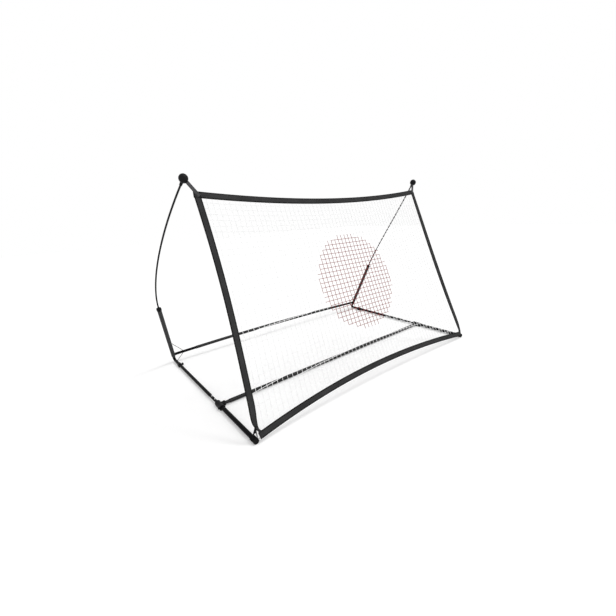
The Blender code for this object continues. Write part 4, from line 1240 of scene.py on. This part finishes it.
def lock_collar(name):
    """Clamp over the joint of side tube and elbow, with a flat sole and a screw seat."""
    node = f"lock_collar_{name}"
    place, run = side_run(name)
    first, last = reach_along(node, place, run)
    length = last - first
    start = place + run * first
    middle = start + run * (length / 2)
    outer = float(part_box(node)[1].z) - place.z
    body = sleeve(outer, length, LOCK_LIP, LOCK_WAIST, start, run)
    sole_size = (LOCK_SOLE_WIDTH, length - 2 * END_GAP, place.z)
    combine(body, block(sole_size, (middle.x, middle.y, place.z / 2), run.cross(UP), run), "UNION")
    screw_hole = add_boss(body, *joint_axis(f"{name}_lock_screw_turn"), outer, length)
    _, tube = tube_radii(f"rear_side_tube_{name}", BACK)
    combine(body, bar(tube + FIT_GAP, 2 * length, start - run * (length / 2), run), "DIFFERENCE")
    combine(body, screw_hole, "DIFFERENCE")
    ease_edges(body, EDGE)
    moulded(body, f"moulded_lock_collar_{name}", node)


def thumb_screw(kind, name):
    """Screw with a lobed knob, dished on its face."""
    node = f"{kind}_screw_{name}"
    start, axis = joint_axis(f"{name}_{kind}_screw_turn")
    first, last = reach_along(node, start, axis)
    _, knob = wall_radii(node, start, start + axis)
    shank = SHANK_DIAMETER / 2
    points = solid_points(node) - np.array(start)
    heights = points @ np.array(axis)
    wide = np.linalg.norm(points - np.outer(heights, np.array(axis)), axis=1) > (shank + knob) / 2
    low = float(heights[wide].min())
    edge = (last - low) / KNOB_EDGE
    rim, hollow = KNOB_DISH
    profile = [(shank - EDGE, first), (shank, first + EDGE), (shank, low), (knob - edge, low),
               (knob, low + edge), (knob, last - edge), (knob - edge, last), (knob * rim, last),
               (knob * hollow, last - edge / 2)]
    screw = turned(profile, (0, 0, 0), UP, KNOB_LOBES * KNOB_LOBE_POINTS)
    for vert in screw.data.vertices:
        if math.hypot(vert.co.x, vert.co.y) > shank + EDGE / 2:
            wave = math.cos(KNOB_LOBES * math.atan2(vert.co.y, vert.co.x))
            shrink = 1 - KNOB_LOBE_DEPTH * (1 - wave) / 2
            vert.co.x *= shrink
            vert.co.y *= shrink
    lay_on(screw, start, axis)
    ease_edges(screw, KNOB_EASE)
    moulded(screw, f"{kind}_thumb_screw_{name}", node, f"{kind}_knob_{name}")


def bush(name):
    """Flanged ring where the neck leaves the front tube."""
    node = f"neck_bush_{name}"
    place, run = side_run(name)
    first, last = reach_along(node, place, run)
    bore, flange = wall_radii(node, place, place + run)
    tube_bore, _ = wall_radii(f"front_side_tube_{name}", place, place + run)
    seat = tube_bore - FIT_GAP
    length = last - first
    stop = length - BUSH_FLANGE
    profile = [(bore, 0), (seat - EDGE, 0), (seat, EDGE), (seat, stop), (flange, stop),
               (flange, length - EDGE), (flange - EDGE, length), (bore, length)]
    moulded(turned(profile, place + run * first, run, closed=True), f"moulded_neck_bush_{name}", node)


def snap_button(name, number):
    """Domed steel button on its plate."""
    node = f"snap_button_{name}_{number}"
    low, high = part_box(node)
    radius = BUTTON_DIAMETER / 2
    shoulder = high.z - BUTTON_DOME
    plate_middle = low.z + BUTTON_PLATE_THICKNESS / 2
    profile = [(radius, plate_middle), (radius, shoulder)]
    for angle in (20, 40, 60, 75, 86):
        turn = math.radians(angle)
        profile.append((radius * math.cos(turn), shoulder + BUTTON_DOME * math.sin(turn)))
    middle = (low + high) / 2
    stud = turned(profile, (middle.x, middle.y, 0), UP, ROUND_SMALL)
    _, run = side_run(name)
    plate_size = (BUTTON_PLATE_WIDTH, high.y - low.y, BUTTON_PLATE_THICKNESS)
    plate = block(plate_size, (middle.x, middle.y, plate_middle), run.cross(UP), run)
    combine(plate, stud, "UNION")
    ease_edges(plate, BUTTON_PLATE_EASE, 1)
    hand_over(plate, f"steel_button_{name}_{number}", spring_steel(), "spring_steel",
              f"button_{name}_{number}", node)


def clip_arm(name, number):
    """Springy arm that holds a button up, made in its raised shape; the real arm flattens as the button goes
    down.
    """
    node = f"clip_arm_{name}_{number}"
    low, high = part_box(node)
    first_y, last_y = (low.y, high.y) if number == 1 else (high.y, low.y)
    first_rise, last_rise = SPRING_RISE
    bottom = low.z + SPRING_THICKNESS / 2
    lift = high.z - low.z - SPRING_THICKNESS
    x = (low.x + high.x) / 2
    places = []
    for share in shares(24):
        risen = min(1.0, max(0.0, (share - first_rise) / (last_rise - first_rise)))
        swell = risen * risen * (3 - 2 * risen)
        places.append(Vector((x, first_y + (last_y - first_y) * share, bottom + lift * swell)))
    sweeps = Sweeps()
    sweeps.add(stations_round(places, -RIGHT), strip_outline(SPRING_WIDTH, SPRING_THICKNESS, steps=2))
    arm = face_outwards(sweeps.build())
    hand_over(arm, f"spring_arm_{name}_{number}", spring_steel(), "spring_steel", "frame", node)
    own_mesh(arm)


# Uprights

def socket_collar(name):
    """Moulded mouth of the socket with two grooves."""
    node = f"socket_collar_{name}"
    foot, rise = socket_run(name)
    first, last = reach_along(node, foot, rise)
    bore, outer = wall_radii(node, foot, foot + rise)
    _, socket_end = reach_along(f"pole_socket_{name}", foot, rise)
    socket_bore, _ = wall_radii(f"pole_socket_{name}", foot, foot + rise)
    seat = socket_bore - FIT_GAP
    rim = socket_end - first + FIT_GAP
    total = last - first
    profile = [(bore, 0), (seat - EDGE, 0), (seat, EDGE), (seat, rim), (outer - EDGE, rim),
               (outer, rim + EDGE)]
    depth, width, slope = COLLAR_GROOVE
    for share in COLLAR_GROOVES:
        base = rim + (total - rim) * share
        profile += [(outer, base), (outer - depth, base + slope), (outer - depth, base + width - slope),
                    (outer, base + width)]
    profile += [(outer - inwards, total - down) for inwards, down in COLLAR_RIM]
    profile += [(bore + MOULD_EDGE, total), (bore, total - MOULD_EDGE)]
    ring = turned(profile, foot + rise * first, rise, closed=True)
    moulded(ring, f"moulded_socket_collar_{name}", node)


def pole_lean(name):
    """Direction in which a pole enters its ball."""
    return Vector((-SIDES[name] * math.tan(POLE_LEAN_IN), -math.tan(POLE_LEAN_FORWARD), 1.0)).normalized()


def ball_centre(name):
    """Middle of the ball cap, worked back from the end of the pole's solid."""
    lean = pole_lean(name)
    points = solid_points(f"pole_{name}")
    reach = points @ np.array(lean)
    end = Vector(points[reach > reach.max() - END_TOLERANCE].mean(axis=0))
    return end - lean * POLE_PAST_CENTRE


def pole_path(name):
    """Smooth bow from the collar's mouth to the ball, leaving and arriving in the directions of both."""
    _, rise = socket_run(name)
    lean = pole_lean(name)
    start = joint_axis(f"{name}_bow_flex")[0] + rise * BUTT_GAP
    tip = ball_centre(name)
    end = tip - lean * BALL_NECK_REACH
    pull_start = start + rise * POLE_START_PULL
    pull_end = end - lean * POLE_END_PULL
    path = []
    for t in shares(72):
        u = 1 - t
        path.append(start * u ** 3 + pull_start * 3 * u * u * t + pull_end * 3 * u * t * t + end * t ** 3)
    path.append(tip + lean * POLE_PAST_CENTRE)
    return path


def pole(name):
    """Bowed rod between the socket and the ball, in one fixed shape; the real pole bends as its tip moves."""
    path = pole_path(name)
    rod = bent_rod(path, POLE_DIAMETER / 2, POLE_SIDES)
    hand_over(rod, f"bowed_pole_{name}", fibreglass(), "fibreglass", None, f"pole_{name}")
    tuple(path[0])
    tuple(path[-2])
    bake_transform(rod)


def top_strap_frame(name):
    """Where the top strap's axis passes the ball, its run, its width's direction and its reach."""
    tip = ball_centre(name)
    corner = NET_TOP + RIGHT * (SIDES[name] * NET_TOP_HALF)
    to_corner = corner - tip
    run = (to_corner - NET_OUT * to_corner.dot(NET_OUT)).normalized()
    across = run.cross(NET_OUT) * SIDES[name]
    lift = (BORDER_THICKNESS + TOP_STRAP_THICKNESS) / 2 + FIT_GAP
    middle = tip + NET_OUT * (to_corner.dot(NET_OUT) + lift) + across * TOP_STRAP_SHIFT
    return middle, run, across, to_corner.dot(run)


def pole_ball(name):
    """Ball cap with a filleted, tapered neck, a parting line and a slot for the strap."""
    radius = BALL_DIAMETER / 2
    neck_root = BALL_NECK_DIAMETER / 2
    neck_tip = BALL_NECK_TIP_DIAMETER / 2
    bore = POLE_DIAMETER / 2 + FIT_GAP
    profile = [(BALL_CROWN, radius)]
    steps = 26
    last = math.pi - math.asin((neck_root + BALL_FILLET) / radius)
    for share in shares(steps)[1:]:
        angle = last * share
        pinch = BALL_PARTING_DEPTH if abs(angle - math.pi / 2) < last / steps / 2 else 0.0
        profile.append(((radius - pinch) * math.sin(angle), (radius - pinch) * math.cos(angle)))
    low = profile[-1][1]
    for share in (0.35, 0.7, 1.0):
        profile.append((neck_root + BALL_FILLET * (1 - share) ** 2, low - BALL_FILLET * share))
    profile += [(neck_tip, EDGE - BALL_NECK_REACH), (neck_tip - EDGE, -BALL_NECK_REACH),
                (bore, -BALL_NECK_REACH), (bore, POLE_PAST_CENTRE + FIT_GAP)]
    ball = turned(profile, ball_centre(name), pole_lean(name))
    middle, run, across, _ = top_strap_frame(name)
    slot_size = (TOP_STRAP_WIDTH + 2 * FIT_GAP, BALL_DIAMETER, TOP_STRAP_THICKNESS + 2 * FIT_GAP)
    slot = block(slot_size, middle + run * (TOP_STRAP_START + BALL_DIAMETER / 2), across, run)
    combine(ball, slot, "DIFFERENCE")
    moulded(ball, f"ball_cap_{name}", f"pole_ball_{name}", f"bow_{name}")


# Netting

def net_knots(settings):
    """The net's crossings, as rows from bottom to top, each a little off its place."""
    chance = random.Random(7)
    sewn = border_width() / 2 - NET_TUCK
    rows = []
    for level in shares(settings.cells_up):
        row = []
        for j in range(settings.cells_across + 1):
            s = (1 - NET_TUCK / net_half(level)) * (2 * j / settings.cells_across - 1)
            tuck = NET_TUCK / net_stretch(s)
            place = net_point(s, tuck + (1 - 2 * tuck) * level)
            shift = [chance.uniform(-UNEVENNESS, UNEVENNESS) for _ in range(3)]
            if j in (0, settings.cells_across):
                twist = side_twist("right" if j else "left", level)
                shift[2] = sewn * math.sin(twist) * EDGE_KNOT_LIFT
            row.append(place + RIGHT * shift[0] + NET_UP * shift[1] + NET_OUT * shift[2])
        rows.append(row)
    return rows


def strand_stations(line, first, last, knot):
    """Rings of one strand between two of its crossings: thick at each, slim under the borders."""
    places = []
    sizes = []
    for i in range(first, last + 1):
        at_edge = i in (0, len(line) - 1)
        if i > first and not at_edge:
            places.append(line[i] + (line[i - 1] - line[i]).normalized() * KNOT_REACH)
            sizes.append((1, 1))
        places.append(line[i])
        size = TUCKED_SIZE if at_edge else knot
        sizes.append((size, size))
        if i < last and not at_edge:
            places.append(line[i] + (line[i + 1] - line[i]).normalized() * KNOT_REACH)
            sizes.append((1, 1))
    return stations_along(places, NET_OUT, sizes)


def netting():
    """White square mesh and its round red middle; each strand changes colour at a crossing."""
    settings = bpy.context.scene.rebounder_net
    rows = net_knots(settings)
    lines = rows[1:-1] + [[row[j] for row in rows] for j in range(1, settings.cells_across)]
    middle = net_point(0, 0.5)
    knot = settings.knot_diameter / settings.cord_diameter
    outline = cord_outline(settings.cord_diameter / 2, STRAND_SIDES)
    red_outline = cord_outline(settings.target_cord_diameter / 2, STRAND_SIDES)
    field = Sweeps()
    target = Sweeps()
    for line in lines:
        inside = []
        for start, end in zip(line, line[1:]):
            inside.append(((start + end) / 2 - middle).length < settings.target_radius)
        first = 0
        for i in range(1, len(inside) + 1):
            if i == len(inside) or inside[i] != inside[first]:
                stations = strand_stations(line, first, i, knot)
                if inside[first]:
                    target.add(stations, red_outline)
                else:
                    field.add(stations, outline)
                first = i
    white = net_cord("white_net_cord", "cord_colour", "cord_painted_shade")
    red = net_cord("red_net_cord", "target_colour", "target_painted_shade")
    for sweeps, name, finish, slot, node in ((field, "white_netting", white, "white_net", "net_field"),
                                             (target, "red_netting", red, "red_net", "net_target")):
        piece = hand_over(sweeps.build(), name, finish, slot, None, node)
        piece.data.shade_smooth()
        follow_poles(piece)


# Webbing

def smooth_turn(rows, steps):
    """Rows of numbers with smooth steps between them, through all but the last, which the next line adds."""
    rows = [Vector(row) for row in rows]
    smooth = []
    for i in range(len(rows) - 1):
        before, a, b, after = rows[max(i - 1, 0)], rows[i], rows[i + 1], rows[min(i + 2, len(rows) - 1)]
        for k in range(steps):
            t = k / steps
            pull_a = (b - before) / 2
            pull_b = (after - a) / 2
            smooth.append(a * (2 * t ** 3 - 3 * t * t + 1) + pull_a * (t ** 3 - 2 * t * t + t)
                          + b * (3 * t * t - 2 * t ** 3) + pull_b * (t ** 3 - t * t))
    return smooth


def side_border_line(which):
    """Centre line and widths of a side border: round the bottom corner, then up to the top border."""
    side = SIDES[which]
    places = []
    widths = []
    for inwards, up, width in smooth_turn(CORNER_TURN[which], 5):
        places.append(net_corner(side, inwards, 0) + NET_UP * up)
        widths.append(width)
    start = CORNER_TURN[which][-1][1] / net_stretch(1)
    end = 1 - (border_width() / 2 - SIDE_OVERLAP) / net_stretch(1)
    for share in shares(BORDER_STEPS):
        places.append(net_point(side, start + (end - start) * share))
        widths.append(1.0)
    return places, widths


def border_line(which):
    """Centre line of a border and its widths as shares, from left to right or from bottom to top."""
    if which in SIDES:
        return side_border_line(which)
    level = 1 if which == "top" else 0
    overhang = border_width() / 2 if level else -BOTTOM_END_INSET
    reach = 1 + overhang / net_half(level)
    places = [net_point(reach * (2 * share - 1), level) for share in shares(BORDER_STEPS)]
    return places, [1.0] * len(places)


def border_stations(which):
    """A border's stations; a side border turns about its inner edge, a little towards the player."""
    line, widths = border_line(which)
    stations = []
    for place, run, out, size, distance in stations_along(line, NET_OUT, [(share, 1.0) for share in widths]):
        if which in SIDES:
            twist = side_twist(which, (place - NET_BOTTOM).dot(NET_UP) / net_stretch(1))
            place = place + out * (border_width() / 2 * size[0] * math.sin(twist))
            out = out * math.cos(twist) - RIGHT * (math.sin(twist) * SIDES[which])
        stations.append((place, run, out, size, distance))
    return stations


def border_thickness(which):
    return SIDE_BORDER_THICKNESS if which in SIDES else BORDER_THICKNESS


def border(which):
    """Folded webbing sewn round one edge of the net."""
    width = border_width()
    line, _ = border_line(which)
    strip = Sweeps()
    outline = strip_outline(width, border_thickness(which), width / 2 - SEAM_INSET)
    strip.add(border_stations(which), outline)
    piece = hand_over(strip.build(), f"webbing_border_{which}", border_webbing(), "border_webbing", None,
                      f"border_{which}")
    follow_poles(piece)
    line_length(line)


def border_stitching(which):
    """Two rows of stitches along a border, on both faces."""
    reach = border_width() / 2 - SEAM_INSET
    lift = border_thickness(which) / 2 - SEAM_DIP
    seams = Sweeps()
    for side, face in ((-1, -1), (-1, 1), (1, -1), (1, 1)):
        row = []
        for place, run, out, (wide, _), _ in border_stations(which):
            row.append(place + out.cross(run) * (side * reach * wide) + out * (face * lift))
        add_seam(seams, row, NET_OUT)
    sew(seams, f"border_stitching_{which}", "border_webbing")


def corner_patches():
    """Square of webbing on each face of both top corners of the net, sewn down in a box."""
    patches = Sweeps()
    seams = Sweeps()
    height = (BORDER_THICKNESS + PATCH_THICKNESS) / 2 - PATCH_SUNK
    outline = strip_outline(PATCH_SIZE, PATCH_THICKNESS, steps=6)
    for side in SIDES.values():
        middle = net_point(side * (1 - PATCH_INSET / net_half(1)), 1 - PATCH_INSET / net_stretch(1))
        for face in (-1, 1):
            base = middle + NET_OUT * (height * face)
            places = [base + NET_UP * (PATCH_SIZE * (share - 0.5)) for share in shares(4)]
            patches.add(stations_along(places, NET_OUT), outline)
        box_of_stitches(seams, middle, NET_UP, RIGHT, PATCH_SIZE / 2 - SEAM_INSET,
                        height + PATCH_THICKNESS / 2)
    patch = hand_over(patches.build(), "corner_patches_top", border_webbing(), "border_webbing", None)
    follow_poles(patch)
    sew(seams, "corner_stitching_top", "border_webbing")


def top_strap(name):
    """Doubled webbing from the ball's slot down over the border's corner, where it is sewn down in a box."""
    middle, run, across, corner_reach = top_strap_frame(name)
    start = TOP_STRAP_START + FIT_GAP
    end = corner_reach + TOP_STRAP_OVERLAP
    half = TOP_STRAP_WIDTH / 2 - TOP_STRAP_SEAM_INSET
    places = [middle + run * (start + (end - start) * share) for share in shares(24)]
    strip = Sweeps()
    outline = strip_outline(TOP_STRAP_WIDTH, TOP_STRAP_THICKNESS, half, 16, 2)
    strip.add(stations_along(places, NET_OUT), outline)
    body = f"bow_{name}"
    piece = hand_over(strip.build(), f"ball_strap_{name}", strap_webbing(), "strap_webbing", body,
                      f"top_strap_{name}")
    seams = Sweeps()
    box_middle = middle + run * (end - half - TOP_STRAP_SEAM_INSET)
    box_of_stitches(seams, box_middle, run, across, half, TOP_STRAP_THICKNESS / 2 - STITCH_SUNK)
    sew(seams, f"ball_strap_stitching_{name}", "strap_webbing", body)


def loop_frame(name):
    """Middle of the cap's groove, the way from it to the bottom loop's turn, and the side tube's axis."""
    place, axis = side_run(name)
    cap_start, _ = reach_along(f"front_end_cap_{name}", place, axis)
    centre = place + axis * (cap_start + sum(CAP_GROOVE) / 2 - FIT_GAP / 2)
    rise = UP * BOTTOM_STRAP_RISE - RIGHT * (SIDES[name] * BOTTOM_STRAP_INSET)
    return centre, rise - axis * rise.dot(axis), axis


def bottom_strap(name):
    """Closed webbing loop round the end cap's groove, drawn up to a turn at the net's corner."""
    centre, rise, axis = loop_frame(name)
    up_loop = rise.normalized()
    across = axis.cross(up_loop)
    seat = CAP_GROOVE_DIAMETER / 2 + FIT_GAP + BOTTOM_STRAP_THICKNESS / 2
    nose = BOTTOM_STRAP_NOSE + BOTTOM_STRAP_THICKNESS / 2
    spread = math.acos((seat - nose) / rise.length)
    turn = []
    for radius, reach, first, last in ((seat, 0.0, spread, math.tau - spread),
                                       (nose, rise.length, math.tau - spread, math.tau + spread)):
        for share in shares(28):
            angle = first + (last - first) * share
            turn.append((reach + radius * math.cos(angle), radius * math.sin(angle)))
    lap = ((turn[0][0] + turn[-1][0]) / 2, (turn[0][1] + turn[-1][1]) / 2)
    places = [centre + up_loop * x + across * y for x, y in [lap] + turn + [lap]]
    strip = Sweeps()
    outline = strip_outline(BOTTOM_STRAP_WIDTH, BOTTOM_STRAP_THICKNESS, steps=10)
    strip.add(stations_round(places, axis), outline)
    hand_over(face_outwards(strip.build()), f"corner_strap_{name}", loop_webbing(), "strap_webbing", "frame",
              f"bottom_strap_{name}")


def corner_tab(name):
    """Tab from one face of the net's bottom corner under the loop's turn to the other face, and its tail."""
    side = SIDES[name]
    centre, rise, axis = loop_frame(name)
    up_loop = rise.normalized()
    nose = centre + rise
    sewn = net_corner(side, TAB_INSET, 0) + NET_UP * TAB_SEWN
    lift = NET_OUT * ((SIDE_BORDER_THICKNESS + TAB_THICKNESS) / 2)
    reach = BOTTOM_STRAP_WIDTH / 2 + FIT_GAP + TAB_THICKNESS / 2
    turn = []
    for share in shares(12):
        angle = math.pi * share
        turn.append(nose - axis * (reach * math.cos(angle)) - up_loop * (TAB_NOSE * math.sin(angle)))
    path = [sewn + lift, (sewn + lift).lerp(turn[0], TAB_BEND), *turn,
            (sewn - lift).lerp(turn[-1], TAB_BEND), sewn - lift]
    strip = Sweeps()
    strip.add(stations_round(path, axis.cross(up_loop)), strip_outline(TAB_WIDTH, TAB_THICKNESS, steps=8))

    inwards, down = TAIL_TOP
    top = net_corner(side, inwards, 0) - NET_UP * down
    inwards, forwards, up = TAIL_FOOT
    foot = nose - up_loop * (BOTTOM_STRAP_RISE - up) - RIGHT * (side * inwards) - axis * forwards
    tail = [top - RIGHT * (side * TAIL_HEM), top, top.lerp(foot, 0.5), foot]
    strip.add(stations_along(tail, NET_OUT), strip_outline(TAIL_WIDTH, TAB_THICKNESS, steps=4))
    hand_over(face_outwards(strip.build()), f"corner_tab_{name}", loop_webbing(), "border_webbing", "frame")


# Operators

class REBOUNDER_OT_stage(bpy.types.Operator):
    """Floor, white surroundings, lamps and camera"""
    bl_idname = "rebounder.stage"
    bl_label = "Stage"

    def execute(self, context):
        settings = context.scene.rebounder_stage
        context.scene.view_settings.view_transform = "Standard"
        lay_floor(settings)
        light_sky(settings)
        hang_lamp("key_light", KEY_PLACE, settings.key, settings.key_softness)
        hang_lamp("front_fill", FILL_PLACE, settings.fill, settings.key_softness)
        hang_lamp("glint_light", GLINT_PLACE, settings.glint, GLINT_WIDTH)
        set_camera()
        return {"FINISHED"}


class REBOUNDER_OT_side_tubes(bpy.types.Operator):
    """Front and rear side tubes and the slim necks between them"""
    bl_idname = "rebounder.side_tubes"
    bl_label = "Side tubes"

    def execute(self, context):
        for name in SIDES:
            steel_tube(f"side_tube_front_{name}", f"front_side_tube_{name}", BACK)
            steel_tube(f"side_tube_rear_{name}", f"rear_side_tube_{name}", BACK)
            neck(name)
        return {"FINISHED"}


class REBOUNDER_OT_cross_tubes(bpy.types.Operator):
    """Crossbar, arched rear bar and its slim ends"""
    bl_idname = "rebounder.cross_tubes"
    bl_label = "Cross tubes"

    def execute(self, context):
        crossbar()
        rear_bar()
        for name in SIDES:
            rear_stub(name)
        return {"FINISHED"}


class REBOUNDER_OT_rear_corners(bpy.types.Operator):
    """Elbows, pole sockets and wire braces"""
    bl_idname = "rebounder.rear_corners"
    bl_label = "Rear corners"

    def execute(self, context):
        for name in SIDES:
            elbow(name)
            steel_tube(f"socket_tube_{name}", f"pole_socket_{name}", UP, socket_coat())
            brace(name)
            refinish(f"socket_bush_{name}", moulded_plastic())
        return {"FINISHED"}


class REBOUNDER_OT_fittings(bpy.types.Operator):
    """Tees, lock collars, bushes, socket collars and end caps"""
    bl_idname = "rebounder.fittings"
    bl_label = "Moulded fittings"

    def execute(self, context):
        for name in SIDES:
            for piece in (tee, lock_collar, bush, socket_collar, end_cap):
                piece(name)
        return {"FINISHED"}


class REBOUNDER_OT_screws(bpy.types.Operator):
    """Thumb screws of the tees and the lock collars"""
    bl_idname = "rebounder.screws"
    bl_label = "Thumb screws"

    def execute(self, context):
        for name in SIDES:
            for kind in ("tee", "lock"):
                thumb_screw(kind, name)
        return {"FINISHED"}


class REBOUNDER_OT_buttons(bpy.types.Operator):
    """Spring buttons of the necks with their clips"""
    bl_idname = "rebounder.buttons"
    bl_label = "Spring buttons"

    def execute(self, context):
        for name in SIDES:
            for number in (1, 2):
                snap_button(name, number)
                clip_arm(name, number)
            refinish(f"button_clip_{name}", spring_steel())
        return {"FINISHED"}


class REBOUNDER_OT_poles(bpy.types.Operator):
    """Bowed poles and their ball caps"""
    bl_idname = "rebounder.poles"
    bl_label = "Poles"

    def execute(self, context):
        for name in SIDES:
            pole(name)
            pole_ball(name)
            refinish(f"pole_butt_{name}", fibreglass())
        return {"FINISHED"}


class REBOUNDER_OT_netting(bpy.types.Operator):
    """White netting with its red middle"""
    bl_idname = "rebounder.netting"
    bl_label = "Netting"

    def execute(self, context):
        netting()
        return {"FINISHED"}


class REBOUNDER_OT_borders(bpy.types.Operator):
    """Webbing round the net, its stitches and its corner patches"""
    bl_idname = "rebounder.borders"
    bl_label = "Borders"

    def execute(self, context):
        for which in ("bottom", "top", "left", "right"):
            border(which)
            border_stitching(which)
        corner_patches()
        for name in SIDES:
            corner_tab(name)
        return {"FINISHED"}


class REBOUNDER_OT_straps(bpy.types.Operator):
    """Straps to the ball caps and round the end caps"""
    bl_idname = "rebounder.straps"
    bl_label = "Straps"

    def execute(self, context):
        for name in SIDES:
            top_strap(name)
            bottom_strap(name)
        return {"FINISHED"}


OPERATORS = (REBOUNDER_OT_stage, REBOUNDER_OT_side_tubes, REBOUNDER_OT_cross_tubes, REBOUNDER_OT_rear_corners,
             REBOUNDER_OT_fittings, REBOUNDER_OT_screws, REBOUNDER_OT_buttons, REBOUNDER_OT_poles,
             REBOUNDER_OT_netting, REBOUNDER_OT_borders, REBOUNDER_OT_straps)
SETTINGS = (("rebounder_finish", FinishSettings), ("rebounder_net", NetSettings),
            ("rebounder_webbing", WebbingSettings), ("rebounder_stage", StageSettings))


class REBOUNDER_PT_panel(bpy.types.Panel):
    """Builds the rebounder piece by piece"""
    bl_idname = "REBOUNDER_PT_panel"
    bl_label = "Rebounder"
    bl_space_type = "VIEW_3D"
    bl_region_type = "UI"
    bl_category = "Rebounder"

    def draw(self, context):
        for group, kind in SETTINGS:
            settings = getattr(context.scene, group)
            for label in kind.__annotations__:
                self.layout.prop(settings, label)
        for operator in OPERATORS:
            self.layout.operator(operator.bl_idname)


def register():
    for _, kind in SETTINGS:
        bpy.utils.register_class(kind)
    for operator in OPERATORS:
        bpy.utils.register_class(operator)
    bpy.utils.register_class(REBOUNDER_PT_panel)
    for group, kind in SETTINGS:
        setattr(bpy.types.Scene, group, bpy.props.PointerProperty(type=kind))


def unregister():
    for group, _ in SETTINGS:
        delattr(bpy.types.Scene, group)
    bpy.utils.unregister_class(REBOUNDER_PT_panel)
    for operator in reversed(OPERATORS):
        bpy.utils.unregister_class(operator)
    for _, kind in reversed(SETTINGS):
        bpy.utils.unregister_class(kind)


def main():
    register()
    bpy.ops.rebounder.stage()
    bpy.ops.rebounder.side_tubes()
    bpy.ops.rebounder.cross_tubes()
    bpy.ops.rebounder.rear_corners()
    bpy.ops.rebounder.fittings()
    bpy.ops.rebounder.screws()
    bpy.ops.rebounder.buttons()
    bpy.ops.rebounder.poles()
    bpy.ops.rebounder.netting()
    bpy.ops.rebounder.borders()
    bpy.ops.rebounder.straps()


if __name__ == "__main__":
    main()
